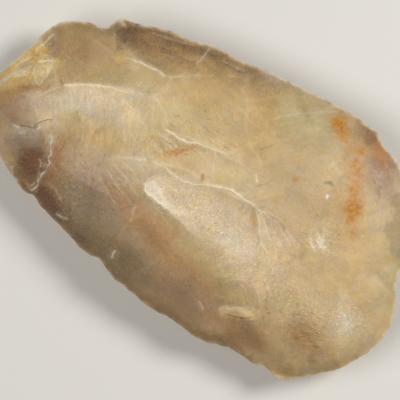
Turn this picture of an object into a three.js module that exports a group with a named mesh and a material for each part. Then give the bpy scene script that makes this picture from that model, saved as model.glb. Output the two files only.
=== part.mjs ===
// A flint celt, flaked all over and partly ground, lying on its under face.
//
// Millimetres, +Z up. +X runs from the narrow butt to the broad cutting edge. The origin is on the ground
// plane, under the middle of the celt. The blade is one solid: an upper and an under face that meet in a
// sharp, wavy margin. Each face is a low dome from which flakes have been struck, and the under face has
// a small ground facet to lie on.

import * as THREE from 'three';

// Driving sizes of the celt.
const celtLength = 105; // from the butt to the cutting edge
const celtWidth = 62; // across the two long margins
const upperRise = 12; // crown of the upper face above the plane of the margin, before flaking
const underDrop = 10.8; // crown of the under face below that plane, before grinding
const groundOff = 0.9; // stone ground off the under crown, which leaves the facet that it lies on
const marginSway = 1; // how far the margin wanders above and below its plane

// Slopes and roundings of the two faces.
const lipRise = 0.8; // thickness that a dome still has where it reaches the margin
const bevelSlope = 0.85; // rise over run of the flaked bevel behind the margin
const nibbleSlope = 1.7; // rise over run of the last millimetre, nibbled by use
const bevelRounding = 2.5; // where the bevel turns into the dome
const nibbleRounding = 0.9; // where the nibbled edge turns into the bevel
const bevelSetback = 1; // how far the bevel starts outside the evened margin
const swayDepth = 9; // how far inwards the margin's wandering is felt
const deepestShare = 0.6; // of the stone that stands there, the most that a flake takes
const ridgeRounding = 0.15; // how much the ridges between the flake scars are rounded

// How finely the two faces are divided, along and across the celt.
const cellsAlong = 62;
const cellsAcross = 38;
const bearingsInTable = 720;
const pointsPerMarginSpan = 12;
const marginEvening = 6; // degrees of bearing over which the margin is evened out for the domes

const flintColour = 0xc9ab79;
const flintRoughness = 0.42;

// The celt is drawn from above, and the drawing is then stretched to the driving sizes. This is the
// margin, from the butt along the straighter side, round the cutting edge and back.
const marginOnDrawing = [
  // butt and its worn shoulder
  [-52.2, -6.2], [-50.4, 1.3], [-48.9, 8.3], [-46.9, 11.8], [-42.4, 14.8],
  // notch and spur
  [-38.3, 15.9], [-36.6, 19.8], [-33.7, 20.4],
  // straighter side
  [-26.5, 23.4], [-20.0, 24.7], [-15.7, 26.3], [-9.2, 26.9], [-2.7, 28.4], [7.8, 29.9], [17.4, 30.9],
  [25.9, 30.4], [28.8, 28.9], [33.9, 27.4],
  // cutting edge
  [40.8, 21.2], [46.2, 11.3], [48.3, 4.5], [50.8, 0.7], [52.4, -4.1], [52.2, -9.7], [50.6, -14.3],
  [47.7, -19.3], [43.7, -23.4], [38.7, -28.1],
  // broken corner
  [37.1, -27.8], [33.9, -27.5], [32.3, -28.3],
  // bowed side
  [25.8, -28.3], [18.6, -30.5], [9.8, -30.4], [5.3, -31.0], [-0.5, -30.3], [-5.8, -29.8], [-10.7, -28.2],
  [-13.0, -28.7], [-21.2, -27.1], [-28.2, -25.6],
  // nick beside the butt
  [-31.2, -24.4], [-32.1, -25.0], [-38.7, -22.9], [-45.5, -19.3], [-49.0, -15.7], [-51.6, -11.2],
];
const crownOnDrawing = new THREE.Vector2(-1, -5);

// A flake scar is a shallow dish: its middle on the drawing, its heading in degrees from +X, its length
// along the heading, its width across it and its depth. square makes its outline boxier, wall makes its
// rim steeper and its floor flatter, lean deepens its far end and its left side, bend curves it, and
// taper widens its far end.
function scar(at, heading, length, width, depth, form = {}) {
  return { at, heading, length, width, depth, square: 2.2, wall: 3, lean: [0, 0], bend: 0, taper: 0, ...form };
}

const upperScars = [
  // two crushed facets of the butt
  scar([-49.8, 0.3], 64, 19, 7, 1.9, { wall: 2.4, lean: [0, 0.3] }),
  scar([-45.3, -2.6], 60, 17, 10, 1, { wall: 2.6, lean: [0, 0.2] }),
  // long flake below the shoulder
  scar([-33.5, 9.2], 17, 34, 15, 0.85, { wall: 2.2, square: 2.6, lean: [-0.2, 0], taper: -0.35, bend: 1 }),
  // flakes along the straighter side
  scar([-26, 19.2], 16, 21, 12.5, 1.3, { wall: 2.4, square: 2.6, lean: [0, -0.3] }),
  scar([-10.3, 25], 15, 16, 10, 0.8, { wall: 2 }),
  scar([2.2, 24.4], 36, 23, 13, 0.7, { wall: 2, square: 2.5 }),
  // broad fibrous flake of the butt half
  scar([-29.5, -3.9], 33, 40, 17.5, 0.9, { wall: 2.4, square: 2.6, lean: [0, 0.5], bend: -1.2 }),
  // flakes that end in the long ridges along the middle
  scar([-9.6, 13.2], 18, 24, 18, 0.6, { wall: 2.4, square: 2.6, lean: [0, -0.4] }),
  scar([-3.2, 2.2], 12, 26, 9.5, 0.85, { wall: 2.5, lean: [0, 0.7] }),
  scar([4.6, -4.9], 3, 31, 11.5, 1.15, { lean: [-0.35, -0.15], bend: 0.8 }),
  scar([20, -2.6], -18, 14, 8.5, 0.6, { wall: 2, lean: [0, 0.4] }),
  // flakes struck from the bowed side
  scar([-25.5, -19], 68, 21, 15.5, 0.7, { wall: 2, square: 2.4, lean: [0.2, 0] }),
  scar([-15.6, -15.7], 98, 24, 14.5, 0.6, { wall: 2, lean: [0.2, 0] }),
  scar([0.8, -21], 84, 21, 21, 0.5, { wall: 2, square: 2.4 }),
  scar([20, -22], 78, 17, 14.5, 0.7, { wall: 2.4, square: 2.4 }),
  scar([23.5, -25.3], 66, 12, 12.5, 1.5, { square: 2.6, lean: [0.3, 0] }),
  scar([12.5, -29], 80, 9, 12, 0.6, { wall: 2 }),
  scar([-28.5, -23], 50, 8, 6.5, 0.9, { wall: 2 }),
  // broken corners of the butt and of the cutting edge
  scar([-40, -19], -62, 18, 15.5, 1.9, { wall: 3.2, square: 2.8, lean: [0, 0.35] }),
  scar([35.5, -25], 70, 12, 12, 0.6, { wall: 2 }),
  // two ground facets behind the cutting edge
  scar([27, 13], 60, 34, 22, 0.25, { wall: 2 }),
  scar([33, -9], -60, 26, 22, 0.2, { wall: 2 }),
];

const underScars = [
  // along the straighter side, from the butt to the cutting edge
  scar([-30, 14], -70, 20, 16, 1.5),
  scar([-14, 17], -85, 20, 15, 1.4),
  scar([2, 19], -95, 19, 16, 1.3),
  scar([19, 21], -100, 18, 17, 1.2, { wall: 2.5 }),
  // along the bowed side
  scar([-27, -17], 70, 19, 15, 1.5),
  scar([-12, -19], 85, 20, 14, 1.5),
  scar([4, -20], 92, 20, 16, 1.6),
  scar([20, -20], 100, 18, 15, 1.3, { wall: 2.5 }),
  scar([32, -19], 110, 16, 12, 1.1, { wall: 2.5 }),
  // butt
  scar([-43, 3], -20, 19, 16, 1.8),
  scar([-42, -11], 30, 17, 13, 1.6),
  // chips of the cutting edge
  scar([45, 1], 185, 9, 8, 0.6, { wall: 2.5 }),
  scar([41, 15], 215, 10, 9, 0.6, { wall: 2.5 }),
];

// The lower of two heights, with the corner between them rounded over the given height.
function softLower(a, b, rounding) {
  const share = THREE.MathUtils.clamp(0.5 + (0.5 * (b - a)) / rounding, 0, 1);
  return b * (1 - share) + a * share - rounding * share * (1 - share);
}

// Distances from the crown to the margin, one for each bearing of the table.
function marginRadii() {
  const curve = new THREE.CatmullRomCurve3(
    marginOnDrawing.map(([x, y]) => new THREE.Vector3(x - crownOnDrawing.x, y - crownOnDrawing.y, 0)),
    true,
    'centripetal',
  );
  const points = curve.getPoints(marginOnDrawing.length * pointsPerMarginSpan);
  return Array.from({ length: bearingsInTable }, (_, i) => {
    const bearing = (i / bearingsInTable) * 2 * Math.PI;
    const ray = new THREE.Vector3(Math.cos(bearing), Math.sin(bearing), 0);
    for (let k = 0; k + 1 < points.length; k++) {
      const [from, to] = [points[k], points[k + 1]];
      const sides = [ray.x * from.y - ray.y * from.x, ray.x * to.y - ray.y * to.x];
      if (sides[0] * sides[1] > 0 || ray.dot(from) < 0) continue;
      const share = sides[0] / (sides[0] - sides[1]);
      return from.clone().lerp(to, share).length();
    }
    throw new Error(`the margin is open at bearing ${bearing}`);
  });
}

// The same distances, averaged over neighbouring bearings.
function evened(radii) {
  const reach = Math.round((marginEvening / 360) * bearingsInTable);
  return radii.map((_, i) => {
    let sum = 0;
    let weights = 0;
    for (let k = -4 * reach; k <= 4 * reach; k++) {
      const weight = Math.exp((-k * k) / (2 * reach * reach));
      sum += weight * radii[(i + k + bearingsInTable) % bearingsInTable];
      weights += weight;
    }
    return sum / weights;
  });
}

// How squarely a ray from the crown meets the evened margin: 1 where it meets it at a right angle.
function slants(radii) {
  const step = (2 * Math.PI) / bearingsInTable;
  return radii.map((radius, i) => {
    const next = radii[(i + 1) % bearingsInTable];
    const last = radii[(i - 1 + bearingsInTable) % bearingsInTable];
    return radius / Math.hypot(radius, (next - last) / (2 * step));
  });
}

const trueRadii = marginRadii();
const evenRadii = evened(trueRadii);
const raySlants = slants(evenRadii);

// A table's value at any bearing.
function atBearing(table, bearing) {
  const place = THREE.MathUtils.euclideanModulo(bearing / (2 * Math.PI), 1) * bearingsInTable;
  const low = Math.floor(place) % bearingsInTable;
  return THREE.MathUtils.lerp(table[low], table[(low + 1) % bearingsInTable], place - Math.floor(place));
}

// Depth of one scar at a point of the drawing, negative outside its rim.
function scarDepth(x, y, { at, heading, length, width, depth, square, wall, lean, bend, taper }) {
  const turn = THREE.MathUtils.degToRad(heading);
  const [dx, dy] = [x - at[0], y - at[1]];
  const along = (dx * Math.cos(turn) + dy * Math.sin(turn)) / (length / 2);
  const spread = (width / 2) * THREE.MathUtils.clamp(1 + taper * along, 0.25, 2);
  const across = (dy * Math.cos(turn) - dx * Math.sin(turn) - bend * along * along) / spread;
  const rim = (Math.abs(along) ** square + Math.abs(across) ** square) ** (1 / square);
  const [ahead, aside] = [along, across].map((share) => THREE.MathUtils.clamp(share, -1, 1));
  return depth * (1 - rim ** wall) * THREE.MathUtils.clamp(1 + lean[0] * ahead + lean[1] * aside, 0.2, 2);
}

// Stone taken off at a point by the deepest scar there, with the ridge to the next one rounded. The scars'
// outlines waver a little, as broken flint does.
function struckOff(x, y, scars, standing) {
  const waverX = x + 0.45 * Math.sin(0.31 * y + 1.3) + 0.22 * Math.sin(0.83 * y + 0.27 * x);
  const waverY = y + 0.45 * Math.sin(0.29 * x + 0.7) + 0.22 * Math.sin(0.79 * x - 0.21 * y + 2);
  const depths = [0, ...scars.map((one) => scarDepth(waverX, waverY, one))];
  const total = depths.reduce((sum, depth) => sum + Math.exp(depth / ridgeRounding), 0);
  const deepest = ridgeRounding * Math.log(total);
  const room = deepestShare * standing + 1e-6;
  return room * Math.tanh(deepest / room);
}

// Height of the margin above its plane at a bearing.
function marginHeight(bearing) {
  return marginSway * (0.62 * Math.sin(3 * bearing + 0.5) + 0.38 * Math.sin(7 * bearing + 1.9));
}

// Heights of the upper and under faces at a share of the way from the crown to the margin.
function faceHeights(bearing, share) {
  const toMargin = atBearing(trueRadii, bearing);
  const toEvenMargin = atBearing(evenRadii, bearing);
  const slant = atBearing(raySlants, bearing);
  const out = share * toMargin;
  const x = crownOnDrawing.x + out * Math.cos(bearing);
  const y = crownOnDrawing.y + out * Math.sin(bearing);
  // The dome falls late on the bowed side and at the butt, and early towards the cutting edge.
  const fullness = 2.4 - 0.45 * Math.cos(bearing) - 0.35 * Math.sin(bearing);
  const fall = Math.min(out / (1.02 * toEvenMargin), 1) ** fullness;
  const bevel = bevelSlope * Math.max((toEvenMargin - out) * slant + bevelSetback, 0.15);
  const nibble = nibbleSlope * Math.max((toMargin - out) * slant, 0);
  const sway = marginHeight(bearing) * Math.exp((-(toMargin - out) * slant) / swayDepth);

  const thickness = (crown, scars) => {
    const dome = (crown - lipRise) * (1 - fall) + lipRise;
    const standing = Math.max(softLower(softLower(dome, bevel, bevelRounding), nibble, nibbleRounding), 0);
    return standing - struckOff(x, y, scars, standing);
  };
  const facet = groundOff - underDrop;
  return {
    x,
    y,
    upper: sway + thickness(upperRise, upperScars),
    under: Math.max(sway - thickness(underDrop, underScars), facet),
  };
}

// Bearing and share of the way to the margin for a point of a square grid, -1 to 1 each way. The grid's
// rings become rings round the crown, drawn out to the celt's proportions.
function onRings(a, b) {
  const ring = Math.max(Math.abs(a), Math.abs(b));
  if (ring === 0) return { bearing: 0, share: 0 };
  const turn =
    Math.abs(a) >= Math.abs(b)
      ? (Math.PI / 4) * (b / a) + (a < 0 ? Math.PI : 0)
      : Math.PI / 2 - (Math.PI / 4) * (a / b) + (b < 0 ? Math.PI : 0);
  return { bearing: Math.atan2(celtWidth * Math.sin(turn), celtLength * Math.cos(turn)), share: ring };
}

// The closed surface of the celt: two grids of cells that share the points of the margin.
function celtGeometry() {
  const upper = [];
  const under = [];
  const indices = [];
  for (let j = 0; j <= cellsAcross; j++) {
    for (let i = 0; i <= cellsAlong; i++) {
      const { bearing, share } = onRings((2 * i) / cellsAlong - 1, (2 * j) / cellsAcross - 1);
      const point = faceHeights(bearing, share);
      if (share === 1) point.upper = point.under = marginHeight(bearing);
      upper.push(new THREE.Vector3(point.x, point.y, point.upper));
      under.push(new THREE.Vector3(point.x, point.y, point.under));
    }
  }

  const cell = (corners, middleSplit, facingUp, offset) => {
    const [a, b, c, d] = facingUp ? corners : [corners[0], corners[3], corners[2], corners[1]];
    const triangles = middleSplit === facingUp ? [a, b, d, b, c, d] : [a, b, c, a, c, d];
    indices.push(...triangles.map((index) => index + offset));
  };
  const across = cellsAlong + 1;
  for (let j = 0; j < cellsAcross; j++) {
    for (let i = 0; i < cellsAlong; i++) {
      const first = j * across + i;
      const corners = [first, first + 1, first + across + 1, first + across];
      // A cell is split from the corner that points at the crown to the one that points away.
      const leansBack = (i < cellsAlong / 2) !== (j < cellsAcross / 2);
      cell(corners, leansBack, true, 0);
      cell(corners, !leansBack, false, upper.length);
    }
  }

  const geometry = new THREE.BufferGeometry().setFromPoints([...upper, ...under]);
  geometry.setIndex(indices);
  geometry.computeBoundingBox();
  const drawn = geometry.boundingBox.getSize(new THREE.Vector3());
  const middle = geometry.boundingBox.getCenter(new THREE.Vector3());
  geometry.translate(-middle.x, -middle.y, underDrop - groundOff);
  geometry.scale(celtLength / drawn.x, celtWidth / drawn.y, 1);
  return geometry;
}

const flint = new THREE.MeshStandardMaterial({
  color: flintColour,
  roughness: flintRoughness,
  metalness: 0,
});
const blade = new THREE.Mesh(celtGeometry(), flint);
blade.name = 'celt';

const celt = new THREE.Group();
celt.add(blade);

export default celt;
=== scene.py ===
"""Dresses the flint celt: its flaked surface, the finish of the flint, and the studio it lies in."""

import math
from collections import namedtuple

import bpy
import numpy as np
from bpy.props import FloatProperty, FloatVectorProperty, IntProperty, PointerProperty
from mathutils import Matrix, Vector


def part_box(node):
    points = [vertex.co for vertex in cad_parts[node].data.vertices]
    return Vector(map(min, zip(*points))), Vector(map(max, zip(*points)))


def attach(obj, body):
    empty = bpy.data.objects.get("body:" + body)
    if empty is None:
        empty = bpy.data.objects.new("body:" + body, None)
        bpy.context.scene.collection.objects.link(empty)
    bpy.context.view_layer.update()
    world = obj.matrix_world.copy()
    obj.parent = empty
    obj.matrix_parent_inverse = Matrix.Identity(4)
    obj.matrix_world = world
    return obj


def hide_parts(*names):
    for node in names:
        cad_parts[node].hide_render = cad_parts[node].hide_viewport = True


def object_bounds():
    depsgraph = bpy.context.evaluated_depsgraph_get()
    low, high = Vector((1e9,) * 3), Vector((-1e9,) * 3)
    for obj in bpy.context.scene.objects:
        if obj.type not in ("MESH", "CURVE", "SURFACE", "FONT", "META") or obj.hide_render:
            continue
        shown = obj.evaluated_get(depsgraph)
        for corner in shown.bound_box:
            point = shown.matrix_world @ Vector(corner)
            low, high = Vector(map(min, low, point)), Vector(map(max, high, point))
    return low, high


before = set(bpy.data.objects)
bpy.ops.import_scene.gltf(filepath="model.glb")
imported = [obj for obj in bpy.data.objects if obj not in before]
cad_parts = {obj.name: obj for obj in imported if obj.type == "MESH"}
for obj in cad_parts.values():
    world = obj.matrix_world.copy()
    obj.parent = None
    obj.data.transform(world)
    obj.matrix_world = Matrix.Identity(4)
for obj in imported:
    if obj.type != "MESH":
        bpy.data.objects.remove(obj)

bl_info = {
    "name": "Flint Celt",
    "version": (1, 0, 0),
    "blender": (4, 5, 0),
    "location": "View3D > Sidebar > Flint Celt",
    "description": "Makes a flaked and partly ground flint axe head and a plain studio for it",
    "category": "Add Mesh",
}

MILLIMETRE = 0.001
CAD_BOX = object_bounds()
CELT_LOW, CELT_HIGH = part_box("celt")

# The celt is drawn from above in millimetres, +X to the cutting edge, and the drawing is stretched to the
# size of the solid. This is its margin, from the butt along the straighter side and back.
MARGIN = (
    (-52.2, -6.2), (-50.4, 1.3), (-48.9, 8.3), (-46.9, 11.8), (-42.4, 14.8), (-38.3, 15.9), (-36.6, 19.8),
    (-33.7, 20.4), (-26.5, 23.4), (-20.0, 24.7), (-15.7, 26.3), (-9.2, 26.9), (-2.7, 28.4), (7.8, 29.9),
    (17.4, 30.9), (25.9, 30.4), (28.8, 28.9), (33.9, 27.4), (40.8, 21.2), (46.2, 11.3), (48.3, 4.5),
    (50.8, 0.7), (52.4, -4.1), (52.2, -9.7), (50.6, -14.3), (47.7, -19.3), (43.7, -23.4), (38.7, -28.1),
    (37.1, -27.8), (33.9, -27.5), (32.3, -28.3), (25.8, -28.3), (18.6, -30.5), (9.8, -30.4), (5.3, -31.0),
    (-0.5, -30.3), (-5.8, -29.8), (-10.7, -28.2), (-13.0, -28.7), (-21.2, -27.1), (-28.2, -25.6),
    (-31.2, -24.4), (-32.1, -25.0), (-38.7, -22.9), (-45.5, -19.3), (-49.0, -15.7), (-51.6, -11.2),
)
CROWN = (-1.0, -5.0)
POINTS_PER_SPAN = 12
BEARINGS = 1440
MARGIN_EVENING = math.radians(6)

# The two faces: heights, depths and widths in millimetres, and slopes as rise over run.
UPPER_RISE = 12.0
UNDER_DROP = 10.8
GROUND_OFF = 0.9
MARGIN_SWAY = 1.0
SWAY_DEPTH = 9.0
LIP_RISE = 0.8
BEVEL_SLOPE = 0.85
NIBBLE_SLOPE = 1.7
BEVEL_ROUNDING = 2.5
NIBBLE_ROUNDING = 0.9
BEVEL_SETBACK = 1.0
DEEPEST_SHARE = 0.6
SHARP_RIDGE = 0.05
SOFT_RIDGE = 0.3
SHARP_ANGLE = math.radians(48)

# How full the domes are, and how much less towards the cutting edge and the straighter side.
DOME_FULLNESS = 2.4
LEANER_AT_CUTTING_EDGE = 0.45
LEANER_AT_STRAIGHTER_SIDE = 0.35

# How far broken flint departs from even curves, in millimetres.
SLOW_WAVER = 0.45
QUICK_WAVER = 0.22
RIPPLE_LENGTH = 2.3
SWELL = 0.16
SMALL_SWELL = 0.05
GRAIN = 0.014
SCALLOP = 0.22
SMALL_SCALLOP = 0.12
MARGIN_JAG = 0.25
JAG_REACH = 1.2
MARGIN_CALM = 1.5

# Waves that vary the surface: their length in millimetres, their seed, and how many are summed if not nine.
SWELL_WAVES = (11, 3)
SMALL_SWELL_WAVES = (3.5, 4)
GRAIN_WAVES = (1.2, 5, 14)
RIPPLE_BEND_WAVES = (9, 31)
RIPPLE_PATCH_WAVES = (8, 57)
SCALLOP_WAVES = (6.0, 21)
SMALL_SCALLOP_WAVES = (2.0, 22)
JAG_WAVES = (6.0, 23)
MARGIN_SHADE_WAVES = (9, 15)
UNDER_IRON_WAVES = (16, 120)
UNDER_SPECK_WAVES = (14, 121)
UNDER_TONE_LENGTH = 30
UNDER_TONE_SEED = 100

# How the margin sways as seen from the side: share of the sway, swings in one round, and start.
MARGIN_SWAYS = ((0.62, 3, 0.5), (0.38, 7, 1.9))

# Ripples of a scar: how far they bend, how strongly they crowd together, and over what length.
RIPPLE_BEND = 0.8
RIPPLE_CROWDING = 1.5
RIPPLE_CROWDING_LENGTH = 3.1

# Swells that carry points over the drawing: height, wavelength, two seeds and how many waves each sums.
UNDER_WANDER = ((1.3, 10, 61, 62, 9),)
LINE_WANDER = ((0.14, 3.0, 41, 43, 9), (0.06, 1.1, 42, 44, 9))
SOFT_WANDER = ((0.6, 14, 11, 13, 9), (0.5, 4, 12, 14, 9), (0.3, 1.3, 16, 17, 14))
CRISP_WANDER = ((0.25, 1.3, 16, 17, 14),)

# Small chips along the margin: how far each reaches across and inwards, how far it is turned, in degrees,
# how far in from the margin its middle lies beside its length inwards, how far it strays from an even
# spacing, how deep it is beside the deepest, and how much lighter or darker.
CHIP_ACROSS = (2.4, 6.5)
CHIP_INWARD = (2.0, 5.5)
CHIP_TURN = 18
CHIP_SETBACK = (-0.2, 0.3)
CHIP_STRAY = (0, 0.8)
CHIP_DEPTH_SHARE = (0.35, 1.0)
CHIP_TONE = (-0.25, 0.2)
UPPER_CHIP_SEED = 71
UNDER_CHIP_SEED = 72

# How strongly each finish shows where no zone says otherwise, and on the under face.
UNDER_SHARPNESS = 0.5
# LINE_TONE_AND_SHADE scales the painted shade and light beside the lines.
LINE_TONE_AND_SHADE = 1.4
UPPER_RIDGE_SHOWN = 0.35
UNDER_RIDGE_SHOWN = 0.24
LEAST_STREAKS = 0.12
UNDER_STREAKS = 0.3
# The frost includes a painted sheen and painted glints.
LEAST_FROST_AND_SHEEN = 0.08
UNDER_FROST_AND_SHEEN = 0.15
UNDER_SCUFFS = 0.3
LEAST_SPECKS = 0.05

# The rim, a painted light where light comes through the thin margin, and the darker band inside it, a
# painted shade where the thin flint falls away, deeper on the bowed side: how wide they are, in millimetres,
# how strongly the rim shows from the bowed side to the straighter one, and how dark the band is.
RIM_WIDTH = 0.5
RIM_SHOWN = 0.65
RIM_MORE_ON_STRAIGHTER_SIDE = 0.35
RIM_TURNS_OVER = 8
MARGIN_SHADE_WIDTH = 4.0
MARGIN_PAINTED_SHADE = 0.38
BOWED_SIDE_PAINTED_SHADE = 0.3

# Scars of the under face are numbered from here, so that their streaks differ from the upper face's.
UNDER_BLOWS_FROM = 60

# Inside the margin, the under face has every second point of the upper face's grid.
UNDER_STEP = 2

# Studio: where the lights stand and how wide they are, in metres. A place is how far to the right of the
# picture, up it and above the margin. The sensor is in millimetres.
KEY_PLACE = (0.42, 0.16, 0.46)
KEY_SIZE = 0.25
FILL_PLACE = (-0.36, -0.06, 0.58)
FILL_SIZE = 0.5
SENSOR_WIDTH = 36
SURROUND_COLOUR = (0.95, 0.96, 1.0, 1.0)
FLOOR_ROUGHNESS = 0.8

Scar = namedtuple("Scar", "at heading length width depth square wall lean bend taper struck ripple tone")


def scar(at, heading, length, width, depth, square=2.2, wall=3.0, lean=(0, 0), bend=0.0, taper=0.0,
         struck=None, ripple=1.0, tone=0.0):
    """A flake scar: a shallow dish on the drawing.

    struck is where the blow fell, for its ripples, and tone is how much lighter the flint is in it.
    """
    if struck is None:
        turn = math.radians(heading)
        struck = (at[0] - math.cos(turn) * length / 2, at[1] - math.sin(turn) * length / 2)
    return Scar(at, heading, length, width, depth, square, wall, lean, bend, taper, struck, ripple, tone)


UPPER_SCARS = (
    # two crushed facets of the butt
    scar((-49.8, 0.3), 64, 19, 7.0, 1.9, wall=2.4, lean=(0, 0.3), struck=(-54, -2)),
    scar((-45.3, -2.6), 60, 17, 10.0, 1.0, wall=2.6, lean=(0, 0.2), struck=(-54, -6)),
    # long flake below the shoulder
    scar((-33.5, 9.2), 17, 34, 15.0, 0.85, wall=2.2, square=2.6, lean=(-0.2, 0.0), taper=-0.35, bend=1.0,
         struck=(-47, 16), ripple=0.5),
    # flakes along the straighter side
    scar((-26.0, 19.2), 16, 21, 12.5, 1.3, wall=2.4, square=2.6, lean=(0, -0.3), struck=(-26, 27)),
    scar((-10.3, 25.0), 15, 16, 10.0, 0.8, wall=2, struck=(-11, 31)),
    scar((2.2, 24.4), 36, 23, 13.0, 0.7, wall=2, square=2.5, struck=(2, 36)),
    # broad fibrous flake of the butt half
    scar((-29.5, -3.9), 33, 40, 17.5, 0.9, wall=2.4, square=2.6, lean=(0, 0.5), bend=-1.2,
         struck=(-62, -24), ripple=0.8),
    # flakes that end in the long ridges along the middle
    scar((-9.6, 13.2), 18, 24, 18.0, 0.6, wall=2.4, square=2.6, lean=(0, -0.4), struck=(-4, 34)),
    scar((-3.2, 2.2), 12, 26, 9.5, 0.85, wall=2.5, lean=(0, 0.7), struck=(6, 28), ripple=0.7),
    scar((4.6, -4.9), 3, 31, 11.5, 1.15, wall=3, lean=(-0.35, -0.15), bend=0.8, struck=(-14, -8),
         ripple=0.6),
    scar((20.0, -2.6), -18, 14, 8.5, 0.6, wall=2, lean=(0, 0.4), struck=(16, -16)),
    # flakes struck from the bowed side
    scar((-25.5, -19.0), 68, 21, 15.5, 0.7, wall=2, square=2.4, lean=(0.2, 0)),
    scar((-15.6, -15.7), 98, 24, 14.5, 0.6, wall=2, lean=(0.2, 0)),
    scar((0.8, -21.0), 84, 21, 21.0, 0.5, wall=2, square=2.4),
    scar((20.0, -22.0), 78, 17, 14.5, 0.7, wall=2.4, square=2.4),
    scar((23.5, -25.3), 66, 12, 12.5, 1.5, wall=3, square=2.6, lean=(0.3, 0)),
    scar((12.5, -29.0), 80, 9, 12.0, 0.6, wall=2),
    scar((22.3, -20.2), 30, 10, 3.2, 0.9, wall=4, square=2.6, lean=(0, 0.5), ripple=0),
    scar((-28.5, -23.0), 50, 8, 6.5, 0.9, wall=2),
    # broken corners of the butt and of the cutting edge
    scar((-40.0, -19.0), -62, 18, 15.5, 1.9, wall=3.2, square=2.8, lean=(0, 0.35), struck=(-47, -9)),
    scar((35.5, -25.0), 70, 12, 12.0, 0.6, wall=2),
    # two ground facets behind the cutting edge
    scar((27.0, 13.0), 60, 34, 22.0, 0.25, wall=2, ripple=0),
    scar((33.0, -9.0), -60, 26, 22.0, 0.2, wall=2, ripple=0),
)

# Where the ridges of the upper face are still sharp: place, heading, length, width, strength.
SHARP_RIDGES = (
    ((-31.0, 3.5), 30, 30, 8, 1.0),
    ((-24.0, 13.5), 10, 20, 6, 0.9),
    ((-36.0, 17.5), -40, 8, 3, 0.4),
    ((-16.2, 22.0), 95, 11, 4, 0.35),
    ((-2.0, 18.0), -65, 18, 5, 0.35),
    ((-5.5, 5.8), 14, 24, 4.5, 1.0),
    ((-14.0, -3.5), 14, 30, 5, 0.9),
    ((12.0, 1.0), 8, 26, 4.5, 1.0),
    ((-3.0, -9.0), -8, 22, 5, 1.0),
    ((16.0, -2.0), -50, 10, 4, 0.5),
    ((24.0, -3.0), -40, 12, 4, 0.4),
    ((-9.6, -15.0), -88, 14, 3, 0.25),
    ((18.0, -15.5), 0, 16, 5, 0.45),
    ((23.0, -18.5), 0, 14, 5, 0.6),
    ((-32.5, -17.0), -82, 17, 5, 0.3),
    ((-45.5, 2.0), 62, 16, 8, 0.7),
    ((10.0, 22.0), 45, 22, 6, 0.3),
)

UNDER_SCARS = (
    # along the straighter side, from the butt to the cutting edge
    scar((-30, 14), -70, 20, 20, 1.5, wall=2.4, square=2.8, lean=(-0.4, 0.2), bend=1.2),
    scar((-14, 17), -85, 20, 19, 1.4, wall=2.2, square=2.4, lean=(-0.4, 0.2), taper=0.15),
    scar((2, 19), -95, 19, 18, 1.3, wall=2.6, square=3.0, lean=(-0.3, -0.2), bend=-1.0),
    scar((19, 21), -100, 18, 22, 1.2, wall=2.2, square=2.4, lean=(-0.4, 0.2), taper=-0.15),
    # along the bowed side
    scar((-27, -17), 70, 19, 19, 1.5, wall=2.2, square=2.4, lean=(-0.4, -0.2), taper=0.2),
    scar((-12, -19), 85, 20, 18, 1.5, wall=2.6, square=3.0, lean=(-0.3, 0.2), bend=1.0),
    scar((4, -20), 92, 20, 19, 1.6, wall=2.2, square=2.4, lean=(-0.4, 0.2), taper=-0.2),
    scar((20, -20), 100, 18, 19, 1.3, wall=2.4, square=2.8, lean=(-0.4, -0.2), bend=-1.2),
    scar((32, -19), 110, 16, 16, 1.1, wall=2.2, lean=(-0.4, 0)),
    # butt
    scar((-43, 3), -20, 19, 19, 1.8, wall=2.2, square=2.6, lean=(-0.3, 0.2)),
    scar((-42, -11), 30, 17, 16, 1.6, wall=2.4, square=2.8, lean=(-0.3, -0.2)),
    # chips of the cutting edge
    scar((45, 1), 185, 9, 11, 0.6, wall=2.2),
    scar((41, 15), 215, 10, 13, 0.6, wall=2.2),
)

Edge = namedtuple("Edge", "points pale width drop reach crest ends left right spread")


def edge(points, pale, width=0.22, drop=0.0, reach=2.5, crest=0.0, ends=(0.15, 0.15), left=0.0, right=0.0,
         spread=2.5):
    """A line on the upper face: pale lightens it, or darkens it below 0, over width to each side. A pale
    line is worn pale stone and partly a painted highlight along a crest, and a dark line is dirt in a crack
    or a painted shadow.

    The flint to the right of its way lies drop lower, which is felt as far as reach, and the line stands
    up by crest. ends are the shares of its way in which it fades in and out. left and right are how much
    lighter the flint is on each side, as far as spread: partly its own tone, partly painted shade and light.
    """
    return Edge(points, pale, width, drop, reach, crest, ends, left, right, spread)


def fleck(points, pale, width=0.3, ends=(0.3, 0.3)):
    """A short line that changes the colour alone."""
    return edge(points, pale, width=width, ends=ends)


def ribs(pale, width, ends, *lines):
    """Faint ribs that lie side by side in one flake scar, each with a painted shade on one side and painted
    light on the other.
    """
    return [
        edge(points, pale, width=width, drop=0.06, reach=1, ends=ends, left=-0.04, right=0.04, spread=1)
        for points in lines
    ]


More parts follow.
